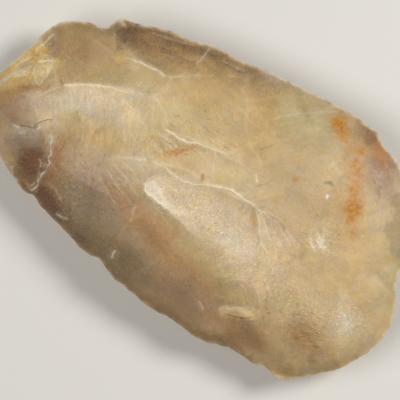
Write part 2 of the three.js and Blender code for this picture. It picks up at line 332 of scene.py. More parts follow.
EDGES = (
    # crest above the broad fibrous flake
    edge(((-38.4, -0.4), (-36.5, 1.2), (-33.9, 3.0), (-31.3, 4.4), (-28.8, 5.5), (-23.1, 7.1),
          (-20.9, 7.9)), 1.0, drop=-0.14, crest=0.05, ends=(0.03, 0.5), left=-0.05, right=0.12, spread=3),
    edge(((-38.4, -0.4), (-40.6, -3.3), (-41.6, -4.9), (-44.0, -7.0)), 0.35, width=0.38, drop=0.15,
         ends=(0, 0.4), right=0.1),
    edge(((-40.2, 1.1), (-39.2, 0.4), (-38.4, -0.4)), -0.5, width=0.19, drop=0.1, ends=(0.3, 0.0)),
    # borders of the darker flakes of the straighter side
    edge(((-38.4, 20.4), (-36.2, 16.5), (-32.9, 12.4)), 0.1, drop=-0.25, left=-0.16, right=0.03, spread=4,
         ends=(0.0, 0.1)),
    edge(((-40.5, 12.5), (-36.0, 12.0), (-32.6, 12.0)), 0.15, drop=-0.1, left=-0.04, right=0.06, spread=3,
         ends=(0.5, 0.1)),
    # crest below the flakes of the straighter side
    edge(((-32.4, 12.0), (-30.1, 12.7), (-27.2, 13.5), (-24.5, 14.0), (-22.3, 14.4), (-20.2, 14.0)), 0.85,
         drop=-0.3, crest=0.05, ends=(0.4, 0.1), left=-0.14, right=0.06, spread=3),
    edge(((-20.2, 14.0), (-18.0, 15.7), (-13.4, 19.4), (-10.2, 21.0)), 0.3, drop=-0.1, ends=(0.1, 0.5)),
    edge(((-16.0, 25.6), (-16.3, 22.9), (-16.6, 18.1)), 0.35, width=0.3, drop=0.08, ends=(0.1, 0.6)),
    edge(((-19.9, 9.3), (-18.5, 8.4), (-16.7, 7.4), (-13.4, 4.8)), 0.35, drop=0.06),
    # step that ends the flakes struck from the straighter side
    edge(((-15.2, 4.2), (-13.1, 4.4), (-10.4, 4.3), (-7.9, 4.8), (-5.3, 6.1), (-0.7, 7.0), (3.1, 8.5)), 0.9,
         width=0.26, drop=-0.22, crest=0.04, ends=(0.12, 0.5), right=-0.1, spread=1.5),
    edge(((-15.8, 3.1), (-13.3, 2.6), (-10.6, 3.1)), 0.4, width=0.17, drop=-0.08, ends=(0.3, 0.4)),
    edge(((-14.7, 2.0), (-12.3, 1.7), (-9.6, 2.4)), 0.35, width=0.17, drop=-0.08, ends=(0.3, 0.4)),
    # long crest above the scoop
    edge(((-10.7, -3.2), (-8.8, -2.8), (-6.7, -3.1), (-3.9, -2.8), (-1.3, -1.9), (1.5, -0.3), (4.4, 1.0),
          (7.4, 1.4), (14.1, 1.1), (23.4, 1.0)), 1.0, drop=0.2, reach=1.8, crest=0.06, ends=(0.06, 0.6),
         right=-0.12, spread=0.9),
    # rim of the scoop, round its tip and along its lower side
    edge(((-5.6, -3.7), (-7.4, -3.8), (-9.2, -4.6), (-10.6, -5.7), (-11.2, -7.0), (-10.9, -8.3),
          (-10.0, -9.3), (-8.5, -9.7), (-5.7, -9.8), (-2.8, -10.0), (2.7, -11.0)), 0.15, width=0.25,
         drop=-0.45, reach=1.6, crest=0.03, ends=(0.3, 0.3), right=-0.2, spread=1.4),
    edge(((-11.2, -7.0), (-10.9, -8.3), (-10.0, -9.3), (-8.5, -9.7), (-5.7, -9.8), (-2.8, -10.0),
          (0.0, -10.4)), 1.0, width=0.26, ends=(0.2, 0.4), left=0.14, right=-0.12, spread=0.9),
    edge(((10.8, 1.2), (12.7, 0.6), (14.4, -0.7), (15.9, -2.7), (17.6, -4.5), (21.0, -6.3)), 0.6, drop=0.12,
         ends=(0.2, 0.1), left=-0.04, right=-0.06),
    edge(((-9.8, -12.6), (-9.8, -14.3), (-9.2, -15.8), (-9.0, -17.3)), 0.3, drop=0.08, ends=(0.2, 0.2)),
    # start of the long crest
    edge(((-16.7, -4.8), (-15.2, -4.6), (-13.8, -3.8), (-12.6, -3.7)), 0.6, width=0.3, drop=0.1,
         ends=(0.3, 0.4), spread=1),
    edge(((-13.0, -3.4), (-11.4, -3.0), (-9.8, -2.9), (-8.7, -3.0)), 0.75, width=0.22, drop=0.12,
         ends=(0.4, 0.2)),
    # steps across the middle of the celt
    edge(((-5.5, 22.6), (-4.0, 20.6), (-1.5, 18.2), (-0.6, 15.6), (1.9, 13.4)), 0.12, width=0.4, drop=0.12,
         left=0.03, right=-0.05),
    edge(((1.7, 13.0), (4.4, 11.6), (6.4, 10.9), (8.7, 9.2), (9.4, 7.6), (10.4, 5.8)), 0.22, width=0.3,
         drop=0.1, left=-0.04, right=0.05),
    edge(((7.9, 7.4), (8.9, 6.5), (9.8, 6.0)), 0.75, width=0.17),
    # chip near the bowed side: its fill is lightened as a painted light, and the dark lines below it are a
    # painted shadow
    edge(((17.8, -22.2), (19.2, -20.6), (21.4, -19.0), (23.9, -17.9), (27.0, -17.6)), 0.4, width=0.25,
         drop=0.1, reach=0.7, ends=(0.05, 0.3), right=0.3, spread=2.2),
    edge(((19.0, -22.8), (21.0, -22.0), (23.0, -21.2), (25.0, -19.9), (26.4, -18.2)), -0.75, width=0.22,
         drop=-0.15, reach=0.9, ends=(0.3, 0.4), right=-0.1, spread=1),
    edge(((18.6, -21.2), (20.3, -20.6), (21.4, -19.4), (23.2, -18.4)), 0.55, width=0.2, drop=0.06,
         reach=0.5, ends=(0.3, 0.3)),
    edge(((20.5, -21.6), (21.8, -20.0), (24.1, -19.0), (27.0, -18.0)), -0.4, width=0.16, drop=-0.06,
         reach=0.5, ends=(0.3, 0.2)),
    fleck(((18.3, -21.8), (19.8, -21.5), (21.7, -21.3)), -0.3, width=0.16),
    # arc of a flake struck from the bowed side
    edge(((15.2, -17.0), (16.7, -15.2), (18.9, -13.6), (20.7, -13.0), (22.5, -13.7), (25.7, -16.5)), 0.3,
         width=0.3, drop=0.15, left=0.05, right=-0.1),
    edge(((24.2, -12.3), (25.6, -13.8), (26.5, -15.6)), -0.3, width=0.3),
    # crack of the butt
    edge(((-41.9, -13.1), (-40.2, -12.4), (-38.8, -11.9), (-38.6, -10.8), (-37.6, -9.2), (-35.9, -7.7)),
         -1.0, width=0.16, crest=-0.16, ends=(0.1, 0.1), left=0.06, right=-0.05, spread=1),
    edge(((-43.6, -13.9), (-42.2, -13.6), (-40.9, -13.2), (-39.6, -12.8)), 0.6, width=0.24,
         ends=(0.3, 0.2)),
    edge(((-39.2, -12.7), (-38.2, -11.9), (-37.6, -10.8), (-37.1, -9.6)), 0.75, width=0.3,
         ends=(0.15, 0.3)),
    fleck(((-41.8, -14.6), (-40.2, -14.2), (-38.9, -13.3)), 0.35),
    # jagged crest of the broken corner of the butt
    edge(((-35.1, -10.5), (-33.8, -11.5), (-33.1, -12.9), (-32.4, -13.8), (-32.1, -15.2), (-31.5, -16.5),
          (-31.1, -17.5), (-31.2, -19.2), (-31.0, -20.7), (-31.1, -22.4), (-31.6, -24.1)), 0.5, width=0.2,
         drop=0.4, reach=2.0, crest=0.05, ends=(0.15, 0.05), left=-0.1, right=-0.12, spread=1.5),
    edge(((-35.0, -10.6), (-33.9, -11.4), (-33.4, -12.4), (-33.0, -13.2)), 0.95, width=0.3,
         ends=(0.4, 0.3)),
    fleck(((-32.9, -13.6), (-32.0, -14.4), (-32.3, -15.5)), 0.7, width=0.22),
    fleck(((-32.0, -15.6), (-31.2, -16.4), (-31.4, -17.6)), 0.9),
    fleck(((-32.2, -16.4), (-31.9, -17.4), (-32.0, -18.3)), 0.55, width=0.2),
    fleck(((-31.0, -18.2), (-31.4, -19.4), (-30.8, -20.4)), 0.8, width=0.28),
    fleck(((-31.8, -20.0), (-31.4, -21.0), (-31.6, -21.9)), 0.6, width=0.24),
    edge(((-30.9, -21.6), (-31.2, -22.9), (-31.7, -24.1)), 0.9, width=0.34, ends=(0.3, 0.1)),
    edge(((-34.2, -16.7), (-33.0, -17.2), (-32.3, -18.4)), 0.5, width=0.17, drop=0.1, reach=1),
    edge(((-32.3, -23.2), (-31.8, -21.8)), 0.6, width=0.15),
    edge(((-38.6, -21.5), (-36.8, -23.3), (-35.0, -24.0)), 0.45, width=0.19),
    # facets of the butt
    edge(((-48.7, 5.6), (-46.7, 5.1), (-45.2, 3.7), (-44.2, 2.5)), 0.2, drop=0.25, ends=(0.05, 0.1),
         left=-0.12, right=0.06),
    edge(((-46.5, 0.7), (-45.0, 2.2), (-43.3, 3.2)), 0.85, width=0.34, drop=0.12, reach=1.5),
    edge(((-43.3, 3.2), (-42.9, 1.4), (-42.9, -1.3), (-43.2, -3.7)), 0.75, width=0.34, drop=0.15, reach=1.5,
         left=-0.06, right=0.08),
    edge(((-46.4, 0.4), (-45.9, -1.2), (-44.5, -2.4), (-43.3, -3.5)), 0.5, width=0.3, drop=0.1, reach=1,
         ends=(0.1, 0.1)),
    edge(((-50.6, -7.3), (-49.8, -4.9), (-48.2, -2.4), (-46.3, 0.5)), 0.4, width=0.3, drop=-0.15,
         reach=1.5),
    edge(((-50.2, -3.4), (-49.2, -0.6), (-48.0, 1.6)), 0.48, width=0.6, drop=-0.15, reach=1, right=-0.03),
    edge(((-49.4, -5.6), (-48.2, -3.0), (-46.8, -1.2)), 0.36, width=0.5, drop=0.15, reach=1, left=-0.02),
    edge(((-48.6, 2.6), (-47.6, 5.4), (-46.9, 8.6)), 0.42, width=0.5, drop=0.12, reach=1, right=0.12),
    edge(((-50.6, 0.2), (-49.6, 3.4), (-48.8, 6.4)), 0.3, width=0.5, drop=-0.12, reach=1, right=-0.03),
    edge(((-42.6, -3.6), (-41.8, -1.4), (-41.2, 1.0)), 0.1, drop=0.15, left=-0.14, right=0.05, spread=1.5),
    # strokes in the dark strip behind the straighter side
    edge(((-29.4, 20.6), (-26.2, 21.4), (-23.8, 22.3)), 0.22, width=0.2, drop=0.1, reach=1, left=0.12,
         right=-0.12),
    edge(((-21.6, 19.8), (-18.6, 20.4), (-16.2, 21.4)), 0.15, width=0.2, drop=0.1, reach=1, left=0.06,
         right=-0.12),
    edge(((-25.2, 17.4), (-22.8, 18.6), (-19.6, 19.0)), 0.15, drop=-0.1, left=-0.08, right=0.05),
    edge(((-12.8, 24.4), (-9.6, 24.6), (-6.2, 25.6)), 0.2, width=0.2, drop=0.12, reach=1, left=0.14,
         right=-0.1),
    edge(((-9.0, 22.0), (-6.8, 23.4), (-4.6, 23.2)), 0.12, width=0.2, drop=0.12, left=0.06, right=-0.1),
    # small chips along the bowed side
    edge(((-24.3, -25.0), (-22.5, -24.8), (-20.7, -24.6)), 0.7, width=0.3, drop=0.1, reach=0.8),
    edge(((-8.4, -23.9), (-8.2, -25.4), (-7.7, -26.5)), 0.65, width=0.45, drop=0.1, reach=0.8),
    edge(((13.4, -23.1), (14.5, -23.7), (15.6, -24.1)), 0.5, width=0.26, drop=0.1, reach=0.8),
    edge(((-29.4, -20.2), (-27.3, -20.4), (-25.4, -21.3), (-24.1, -22.0)), 0.35, width=0.22, drop=0.12),
    # dark needle beside the long crest
    edge(((-1.4, 0.8), (-1.1, -0.2), (-1.0, -1.2)), -0.5, width=0.2, ends=(0.4, 0.3)),
    # faint ribs of the flake beyond the long crest
    *ribs(
        0.35, 0.22, (0.15, 0.15),
        ((14.3, 0.9), (17.1, -1.6), (20.3, -4.0)),
        ((15.7, 1.2), (18.8, -1.0), (22.5, -2.8)),
        ((17.8, 1.3), (21.2, -0.5), (24.5, -1.8)),
        ((20.0, 1.2), (22.9, 0.2), (25.9, -0.6)),
    ),
    # ribs of the flake between the broken corner and the scoop
    *ribs(
        0.3, 0.25, (0.3, 0.4),
        ((-22.1, -11.2), (-17.1, -14.3), (-10.6, -16.7)),
        ((-21.8, -9.3), (-16.4, -11.7), (-10.0, -13.9)),
        ((-20.7, -8.1), (-15.2, -9.5), (-9.5, -11.9)),
        ((-19.5, -6.7), (-14.3, -7.5), (-9.7, -9.9)),
        ((-18.1, -5.2), (-13.9, -5.4), (-10.9, -7.4)),
    ),
    # steps near the cutting edge and the straighter side
    edge(((3.7, 19.0), (7.2, 22.7), (11.5, 26.3), (16.9, 30.4)), 0.25, width=0.45, drop=-0.08),
    edge(((32.3, -28.3), (33.5, -26.4), (36.1, -25.0), (39.3, -24.1)), 0.2, width=0.38, drop=0.25,
         ends=(0, 0.3)),
    edge(((-24.8, 21.8), (-22.0, 22.8), (-18.8, 23.8)), 0.2, width=0.2, drop=-0.1, reach=1, left=0.15),
    edge(((-3.1, 23.9), (-1.2, 26.3), (0.9, 27.2), (3.0, 28.9)), 0.15, width=0.22, drop=-0.12, reach=1,
         left=0.1),
    edge(((25.9, 2.2), (27.2, 1.4), (28.5, 0.4)), 0.7, width=0.22),
    edge(((29.2, 1.4), (28.8, 2.7), (29.1, 4.3)), 0.6, width=0.19),
)

# Colours that lie in the flint, as patches on the drawing: colour, place, heading, length, width, strength
# and how crisp the patch's edge is.
UPPER_PATCHES = (
    ("tan", (-38.9, 8.0), 34, 22, 13, 0.65, 3),
    ("rose", (-45.2, 5.3), 60, 8, 5, 0.7, 2),
    ("rose", (-36.8, 10.5), 34, 8, 4, 0.35, 2),
    ("tan", (-40.0, 14.4), 34, 18, 3.6, 0.8, 3),
    ("khaki", (-29.5, 7.7), 40, 25, 5, 0.5, 3),
    ("straw", (-27.5, 10.0), 30, 14, 3.4, 0.35, 2),
    ("yellow", (-31.5, 11.4), 10, 2.4, 1.5, 0.75, 4),
    ("bark", (-30.2, 19.0), 20, 13, 7, 1.0, 4),
    ("tan", (-22.6, 19.2), 14, 17, 9, 1.0, 4),
    ("bark", (-22.6, 20.0), 20, 12, 3, 0.5, 2),
    ("tan", (-13.3, 22.5), 10, 16, 9, 1.0, 3),
    ("bark", (-17.0, 23.6), 10, 14, 2.6, 0.5, 3),
    ("bark", (-2.6, 25.9), 6, 13, 3.4, 0.55, 3),
    ("bark", (-25.0, 22.6), 16, 9, 3, 0.6, 3),
    ("bark", (-12.0, 25.4), 12, 22, 3, 0.45, 3),
    ("tan", (-0.1, 23.5), 0, 10, 7, 0.85, 3),
    ("dove", (0.6, 27.5), 4, 9, 3, 0.6, 2),
    ("honey", (-11.0, 15.3), 30, 18, 9, 0.8, 2),
    ("honey", (-4.0, 11.9), 20, 14, 7, 0.5, 2),
    ("straw", (-14.5, 7.5), 20, 20, 9, 0.45, 2),
    ("honey", (6.1, 15.4), -40, 16, 10, 0.9, 3),
    ("honey", (12.4, 8.8), -40, 14, 9, 0.4, 2),
    ("straw", (12.0, 24.3), -10, 16, 11, 0.95, 3),
    ("chalk_and_sheen", (-1.1, 27.7), 2, 7, 1.6, 0.3, 3),
    ("chalk_and_sheen", (6.1, 29.6), -6, 6, 2.0, 0.35, 3),
    ("chalk_and_sheen", (12.4, 29.5), -16, 7, 1.4, 0.35, 3),
    ("straw", (20.6, 19.8), -40, 14, 7, 0.6, 2),
    ("rose", (28.5, 26.4), -46, 20, 8, 0.8, 3),
    ("rust", (28.0, 27.4), -46, 17, 4, 0.7, 3),
    ("dove", (33.0, 21.6), -50, 9, 5, 0.45, 2),
    ("cream", (36.2, 14.0), -56, 14, 9, 0.4, 2),
    ("dun", (18.5, 11.0), -48, 28, 17, 0.75, 3),
    ("dun", (27.5, 16.5), -56, 16, 8, 0.5, 3),
    ("honey", (24.5, 21.5), -56, 13, 5, 0.6, 2),
    ("honey", (28.5, 12.5), -62, 18, 7, 0.5, 2),
    ("amber", (25.5, 21.0), -54, 20, 7, 0.4, 2),
    ("amber", (17.5, 27.0), -60, 8, 4.5, 0.4, 2),
    ("amber", (31.0, 12.0), -56, 10, 6, 0.25, 2),
    ("honey", (35.9, 4.3), -56, 25, 14, 0.6, 2),
    ("straw", (46.1, 4.4), -60, 16, 6, 0.6, 2),
    ("cream", (43.8, -9.4), -30, 9, 8, 0.6, 2),
    ("tan", (37.6, -17.1), -20, 13, 8, 0.8, 3),
    ("amber", (37.2, -16.6), -20, 8, 5, 0.35, 3),
    # painted glints and sheen: chalk where facets near the cutting edge catch the light
    ("chalk_and_sheen", (28.4, 3.0), -30, 4, 1.4, 0.5, 4),
    ("chalk_and_sheen", (43.2, -8.6), -40, 4, 3, 0.6, 3),
    ("chalk_and_sheen", (40.6, -6.2), -60, 6, 2, 0.4, 3),
    ("ochre", (43.7, -2.9), 0, 3.0, 2.6, 0.6, 3),
    ("ochre", (42.9, 8.4), 0, 2.2, 1.4, 0.7, 3),
    ("ochre", (37.6, 3.3), -50, 3, 1.6, 0.45, 3),
    ("crack_dirt_and_shadow", (22.8, 14.8), 20, 2.2, 1.0, 0.6, 4),
    # painted glint: a white dot of light
    ("painted_glint", (24.1, 12.1), 0, 0.7, 0.7, 0.9, 4),
    ("chalk_and_sheen", (-35.6, 19.1), 0, 2.4, 1.6, 0.9, 3),
    ("rust", (-1.2, -0.1), 104, 2.2, 0.9, 0.95, 4),
    ("chalk_and_sheen", (-42.7, -14.5), 30, 3.4, 1.2, 0.45, 3),
    ("chalk_and_sheen", (-36.8, -10.0), 50, 5.0, 1.2, 0.5, 3),
    ("khaki", (37.9, -25.6), -10, 12, 4, 0.9, 3),
    ("amber", (26.2, -23.9), 14, 12, 6.5, 0.6, 5),
    ("bark", (27.2, -24.4), 14, 8, 4, 0.3, 3),
    ("tan", (22.6, -22.6), 20, 9, 2.4, 0.7, 2),
    # the chip: fresh yellow stone, and a pale patch on it that is partly painted light
    ("yellow", (22.1, -20.3), 30, 10.4, 3.2, 1.0, 7),
    ("ridge", (22.1, -20.1), 30, 9.0, 2.0, 0.5, 5),
    ("bark", (24.0, -28.0), 4, 14, 3, 0.5, 3),
    ("dove", (-18.0, -15.6), -15, 24, 13, 0.8, 2),
    ("dove", (-21.5, -19.5), -20, 14, 11, 0.4, 2),
    ("bark", (-26.6, -23.6), -20, 11, 7, 0.95, 3),
    ("amber", (-14.0, -14.4), -15, 14, 3, 0.45, 2),
    ("amber", (-4.9, -15.1), -20, 16, 7, 0.8, 2),
    ("amber", (7.9, -18.7), -15, 18, 5, 0.7, 2),
    ("khaki", (-3.0, -11.9), -6, 16, 2.6, 0.6, 3),
    ("khaki", (9.7, -15.3), -10, 14, 6, 0.6, 2),
    ("rose", (8.5, -23.7), -10, 20, 8, 0.7, 2),
    ("moss", (-4.9, -25.9), -14, 18, 9, 0.7, 3),
    ("tan", (12.0, -28.6), -1, 26, 5, 0.6, 3),
    ("bark", (11.0, -29.8), -1, 24, 3, 0.35, 3),
    ("moss", (-15.2, -24.7), -10, 18, 6, 0.75, 2),
    ("khaki", (17.5, -17.6), 10, 10, 5, 0.5, 2),
    ("tan", (26.5, -16.8), 60, 14, 6, 0.35, 2),
    ("tan", (31.0, -19.5), 20, 10, 6, 0.35, 2),
    ("rose", (17.6, -23.0), 0, 9, 6, 0.5, 2),
    ("cream", (1.6, -5.3), 0, 25, 10, 0.75, 3),
    ("pink", (4.4, -3.4), 0, 18, 8, 0.45, 2),
    # the scoop's bright lower wall: frosted stone, partly a painted highlight where it faces the light
    ("chalk_and_sheen", (-8.4, -8.1), -14, 6.0, 2.6, 0.85, 4),
    ("chalk_and_sheen", (-4.6, -9.2), -5, 12, 1.8, 0.7, 3),
    ("cream", (15.0, -7.1), -10, 25, 11, 0.6, 2),
    ("chalk_and_sheen", (12.0, -7.4), -10, 12, 5, 0.2, 2),
    ("pink", (21.3, -1.5), -30, 11, 8, 0.5, 2),
    ("cream", (4.3, 4.7), 10, 16, 5, 0.6, 2),
    ("straw", (6.1, 4.1), 20, 5, 3, 0.6, 2),
    ("cream", (-33.2, -2.4), 34, 22, 9, 0.95, 3),
    ("chalk_and_sheen", (-33.4, -1.6), 34, 18, 6, 0.3, 2),
    ("cream", (-35.4, -5.4), 34, 18, 8, 0.6, 2),
    ("honey", (-24.5, -4.8), 34, 18, 6, 0.6, 2),
    ("khaki", (-30.0, -7.6), 34, 7, 5, 0.25, 2),
    ("cream", (-20.3, 3.0), -56, 14, 8, 0.7, 2),
    ("cream", (-14.7, -5.4), 14, 11, 4, 0.7, 2),
    ("honey", (-11.3, -0.3), 20, 10, 4, 0.6, 2),
    ("pink", (-40.2, -7.4), 34, 9, 6, 0.55, 2),
    ("pink", (-23.5, -12.0), -30, 9, 5, 0.4, 2),
    ("rose", (-44.7, -11.2), 60, 9, 10, 0.7, 3),
    ("dove", (-39.1, -15.6), 40, 12, 6, 0.75, 3),
    ("bark", (-34.6, -18.6), 60, 9, 8, 1.0, 4),
    ("rust", (-34.2, -17.6), 60, 6, 4, 0.7, 3),
    ("amber", (-33.3, -23.6), 40, 3, 3, 0.9, 3),
    ("amber", (-35.6, -12.7), 50, 2, 3, 0.6, 2),
    ("rust", (-30.6, -15.4), -70, 8, 3, 0.85, 3),
    ("amber", (-29.2, -16.8), -70, 13, 4, 0.85, 2),
    ("tan", (-27.2, -18.6), -60, 10, 5, 0.5, 2),
    ("chalk_and_sheen", (-40.6, -14.3), 34, 6, 2.4, 0.45, 2),
    ("cream", (-37.6, -13.4), 50, 4, 3, 0.35, 2),
    ("rust", (-30.3, -23.2), -30, 6, 4, 0.9, 3),
    ("bark", (-27.0, -24.0), -20, 9, 4, 0.95, 3),
    ("bark", (-18.5, -26.6), -10, 20, 3.4, 0.55, 3),
    ("yellow", (-48.6, -1.9), 72, 14, 8, 1.0, 5),
    # pale paint on the butt's facets: worn stone, partly a painted light where the facets face the light
    ("ridge", (-48.2, -3.2), 40, 5, 1.6, 0.6, 4),
    ("yellow", (-44.4, 0.6), 52, 8, 4, 0.9, 5),
    ("ochre", (-48.0, 2.1), 66, 6, 3.2, 0.8, 3),
    ("pink", (-47.6, -1.2), 40, 4, 1.6, 0.6, 4),
    ("chalk_and_sheen", (-50.5, -6.7), 60, 3, 1.4, 0.6, 4),
    ("ridge", (-44.3, 0.6), 62, 5, 2.6, 0.4, 5),
    ("amber", (-44.7, -5.4), 44, 14, 3, 0.65, 3),
    ("khaki", (-40.8, -2.1), 44, 6, 3, 0.5, 2),
)

# Patches with an edge crisper than this lie on a drawing that wanders less.
SOFT_EDGE = 3

# Small clouds of slightly different stone: how many, how long, how wide, how strong, and their tints.
CLOUDS = 150
CLOUD_LENGTH = (3, 10)
CLOUD_WIDTH = (1.2, 3.6)
CLOUD_STRENGTH = (0.4, 1.2)
CLOUD_TINTS = (
    (1.12, 1.12, 1.16),
    (0.88, 0.85, 0.78),
    (1.03, 1.0, 0.84),
    (1.03, 0.99, 1.03),
    (0.94, 0.97, 0.88),
)
UNDER_TONES = ("tan", "cream", "dove", "straw", "honey", "amber")

# Where fine streaks run across the flint: place, heading, length, width, strength.
STREAKED_FLINT = (
    ((-28.0, -3.0), 33, 40, 17, 1.0),
    ((-14.0, 1.0), 60, 16, 12, 0.8),
    ((-10.0, 13.0), 18, 22, 14, 0.5),
    ((-8.0, 3.5), 14, 16, 5, 0.9),
    ((-16.0, -12.0), 80, 18, 12, 0.8),
    ((20.0, -3.0), -30, 12, 8, 0.9),
    ((26.0, -14.0), 20, 14, 10, 0.6),
    ((2.0, -20.0), -8, 30, 10, 0.35),
    ((4.0, 10.0), 30, 10, 10, 0.5),
)

# Where short scuffs and the ends of small steps show: place, heading, length, width, strength.
SCUFFED_FLINT = (
    ((-46.5, 0.5), 60, 20, 12, 1.0),
    ((-25.0, 20.0), 14, 26, 10, 0.9),
    ((-8.0, 24.5), 8, 22, 7, 0.8),
    ((-4.0, 9.0), 20, 22, 8, 0.7),
    ((-9.0, 2.5), 30, 12, 6, 0.9),
    ((10.0, 6.0), -60, 10, 6, 0.8),
    ((-37.0, -16.0), 40, 16, 12, 0.9),
    ((-22.0, -16.0), -20, 24, 16, 0.8),
    ((6.0, -22.0), -8, 34, 12, 0.5),
    ((2.0, -6.5), 0, 26, 9, 0.8),
    ((24.0, -10.0), -30, 34, 18, 0.7),
    ((37.5, -16.0), -20, 14, 9, 1.0),
    ((27.0, 3.0), -40, 14, 10, 0.7),
    ((28.0, 26.0), -50, 26, 8, 0.7),
)

# Where the flint is frosted and pale: partly stone that has lost its lustre, partly a painted sheen and
# painted glints on facets that face the light. Each zone is place, heading, length, width, strength.
FROST_AND_SHEEN_ZONES = (
    ((3.0, -6.0), 3, 30, 10, 0.8),
    ((-8.0, -8.0), -10, 8, 5, 1.0),
    ((-2.5, -8.7), -4, 16, 4, 1.0),
    ((-31.0, 1.0), 33, 26, 9, 0.7),
    ((14.0, -8.5), -10, 24, 12, 0.7),
    ((28.4, 3.0), -40, 7, 5, 1.0),
    ((43.0, -8.5), -40, 10, 8, 1.0),
    ((36.0, -11.0), -35, 9, 8, 0.6),
    ((22.0, -10.0), -20, 24, 14, 0.4),
    ((-15.0, -1.5), 14, 14, 6, 0.5),
    ((-24.0, -20.0), -40, 14, 8, 0.3),
)

# Iron that has come out on the surface: place, heading, length, width, strength.
IRON_STAINS = (
    ((16.8, 27.3), -64, 3.6, 2.4, 0.9),
    ((18.2, 26.9), -60, 4.6, 2.2, 1.0),
    ((20.2, 25.5), -56, 3.0, 2.0, 0.6),
    ((24.8, 24.8), -50, 2.0, 1.8, 0.9),
    ((25.8, 21.7), -30, 3.4, 2.2, 0.95),
    ((26.3, 19.3), -56, 4.6, 1.8, 0.85),
    ((28.2, 17.3), -56, 4.4, 2.6, 1.0),
    ((30.3, 13.3), -56, 4.6, 4.2, 1.15),
    ((31.2, 10.9), -50, 2.2, 2.4, 0.8),
    ((33.5, 8.6), -56, 3.0, 2.0, 0.4),
    ((27.2, 19.0), -56, 13, 3.4, 0.5),
    ((28.6, 27.9), -55, 9.0, 2.6, 0.3),
    ((-8.4, 2.4), 52, 7, 1.5, 0.7),
    ((-9.8, 0.8), 30, 3, 1.0, 0.5),
    ((13.4, -1.4), -56, 4, 1.4, 0.35),
    ((16.1, 11.1), -50, 2.6, 1.2, 0.6),
)

# Where dark specks gather: place, heading, length, width, strength.
SPECK_ZONES = (
    ((-24.0, 20.0), 0, 14, 7, 0.8),
    ((-6.0, 24.0), 0, 18, 5, 0.6),
    ((-8.8, 13.0), 0, 11, 7, 0.9),
    ((37.5, -16.0), 0, 9, 7, 1.0),
    ((-8.6, 2.2), 0, 8, 6, 1.0),
    ((30.0, 14.0), 0, 8, 8, 0.5),
    ((30.0, 0.0), 0, 20, 14, 0.25),
    ((-25.0, -20.0), 0, 10, 6, 0.3),
)


def closed_curve(points, per_span):
    """A centripetal Catmull-Rom curve through the points."""
    knots = np.asarray(points, float)
    count = len(knots)
    curve = []
    for i in range(count):
        span = [knots[(i + k) % count] for k in (-1, 0, 1, 2)]
        times = [0.0]
        for k in range(3):
            times.append(times[-1] + math.sqrt(math.dist(span[k], span[k + 1])))
        for t in np.linspace(times[1], times[2], per_span, endpoint=False):
            level = span
            for order in (1, 2, 3):
                level = [
                    between(level[k], level[k + 1], t, *curve_window(times, k, order))
                    for k in range(len(level) - 1)
                ]
            curve.append(level[0])
    return np.array(curve)


def curve_window(times, k, order):
    """The two knot times that a pass of the curve's pyramid blends between."""
    if order == 1:
        return times[k], times[k + 1]
    if order == 2:
        return times[k], times[k + 2]
    return times[1], times[2]


def between(a, b, t, start, end):
    return a + (b - a) * ((t - start) / (end - start))


def open_curve(points, per_span):
    """A curve through the points that starts at the first and stops at the last."""
    first, last = np.asarray(points[0], float), np.asarray(points[-1], float)
    ahead = 2 * first - np.asarray(points[1], float)
    beyond = 2 * last - np.asarray(points[-2], float)
    knots = [ahead, *np.asarray(points, float), beyond]
    curve = []
    for k in range(len(points) - 1):
        a, b, c, d = knots[k:k + 4]
        for t in np.linspace(0, 1, per_span, endpoint=False):
            curve.append(0.5 * (2 * b + (c - a) * t + (2 * a - 5 * b + 4 * c - d) * t ** 2
                                + (3 * b - a - 3 * c + d) * t ** 3))
    return np.array([*curve, last])


class MarginTable:
    """Distances from the crown to the margin by bearing, true and evened, on the drawing."""

    def __init__(self):
        curve = closed_curve(MARGIN, POINTS_PER_SPAN)
        self.low = curve.min(axis=0)
        self.high = curve.max(axis=0)
        from_crown = curve - np.array(CROWN)
        bearings = np.arctan2(from_crown[:, 1], from_crown[:, 0])
        order = np.argsort(bearings)
        self.table = np.linspace(-math.pi, math.pi, BEARINGS, endpoint=False)
        radii = np.hypot(from_crown[:, 0], from_crown[:, 1])
        self.radii = np.interp(self.table, bearings[order], radii[order], period=2 * math.pi)
        self.even_radii = self.evened(self.radii)
        step = 2 * math.pi / BEARINGS
        fall = (np.roll(self.even_radii, -1) - np.roll(self.even_radii, 1)) / (2 * step)
        self.slants = self.even_radii / np.hypot(self.even_radii, fall)

    def evened(self, radii):
        turns = np.fft.rfftfreq(BEARINGS, 1 / BEARINGS)
        return np.fft.irfft(np.fft.rfft(radii) * np.exp(-((turns * MARGIN_EVENING) ** 2) / 2), BEARINGS)

    def at(self, values, bearing):
        return np.interp(bearing, self.table, values, period=2 * math.pi)


margin = MarginTable()


def waves(x, y, wavelength, seed, count=9):
    """An even, seeded swell over the drawing, about -1 to 1, without grain or direction."""
    draw = np.random.default_rng(seed)
    total = np.zeros_like(x)
    for _ in range(count):
        heading = draw.uniform(0, 2 * math.pi)
        rate = 2 * math.pi / (wavelength * draw.uniform(0.7, 1.5))
        phase = draw.uniform(0, 2 * math.pi)
        total += np.sin(rate * (x * math.cos(heading) + y * math.sin(heading)) + phase)
    return total / math.sqrt(2 * count)


def carried(x, y, swells):
    """How far swells carry each point along the celt and across it."""
    shift = np.zeros((2, len(x)))
    for height, wavelength, seed_along, seed_across, count in swells:
        shift[0] += height * waves(x, y, wavelength, seed_along, count)
        shift[1] += height * waves(x, y, wavelength, seed_across, count)
    return shift


def softer_lower(a, b, rounding):
    """The lower of two heights, rounded where they meet."""
    share = np.clip(0.5 + 0.5 * (b - a) / rounding, 0, 1)
    return b * (1 - share) + a * share - rounding * share * (1 - share)


def margin_height(bearing):
    return MARGIN_SWAY * sum(share * np.sin(turns * bearing + start) for share, turns, start in MARGIN_SWAYS)


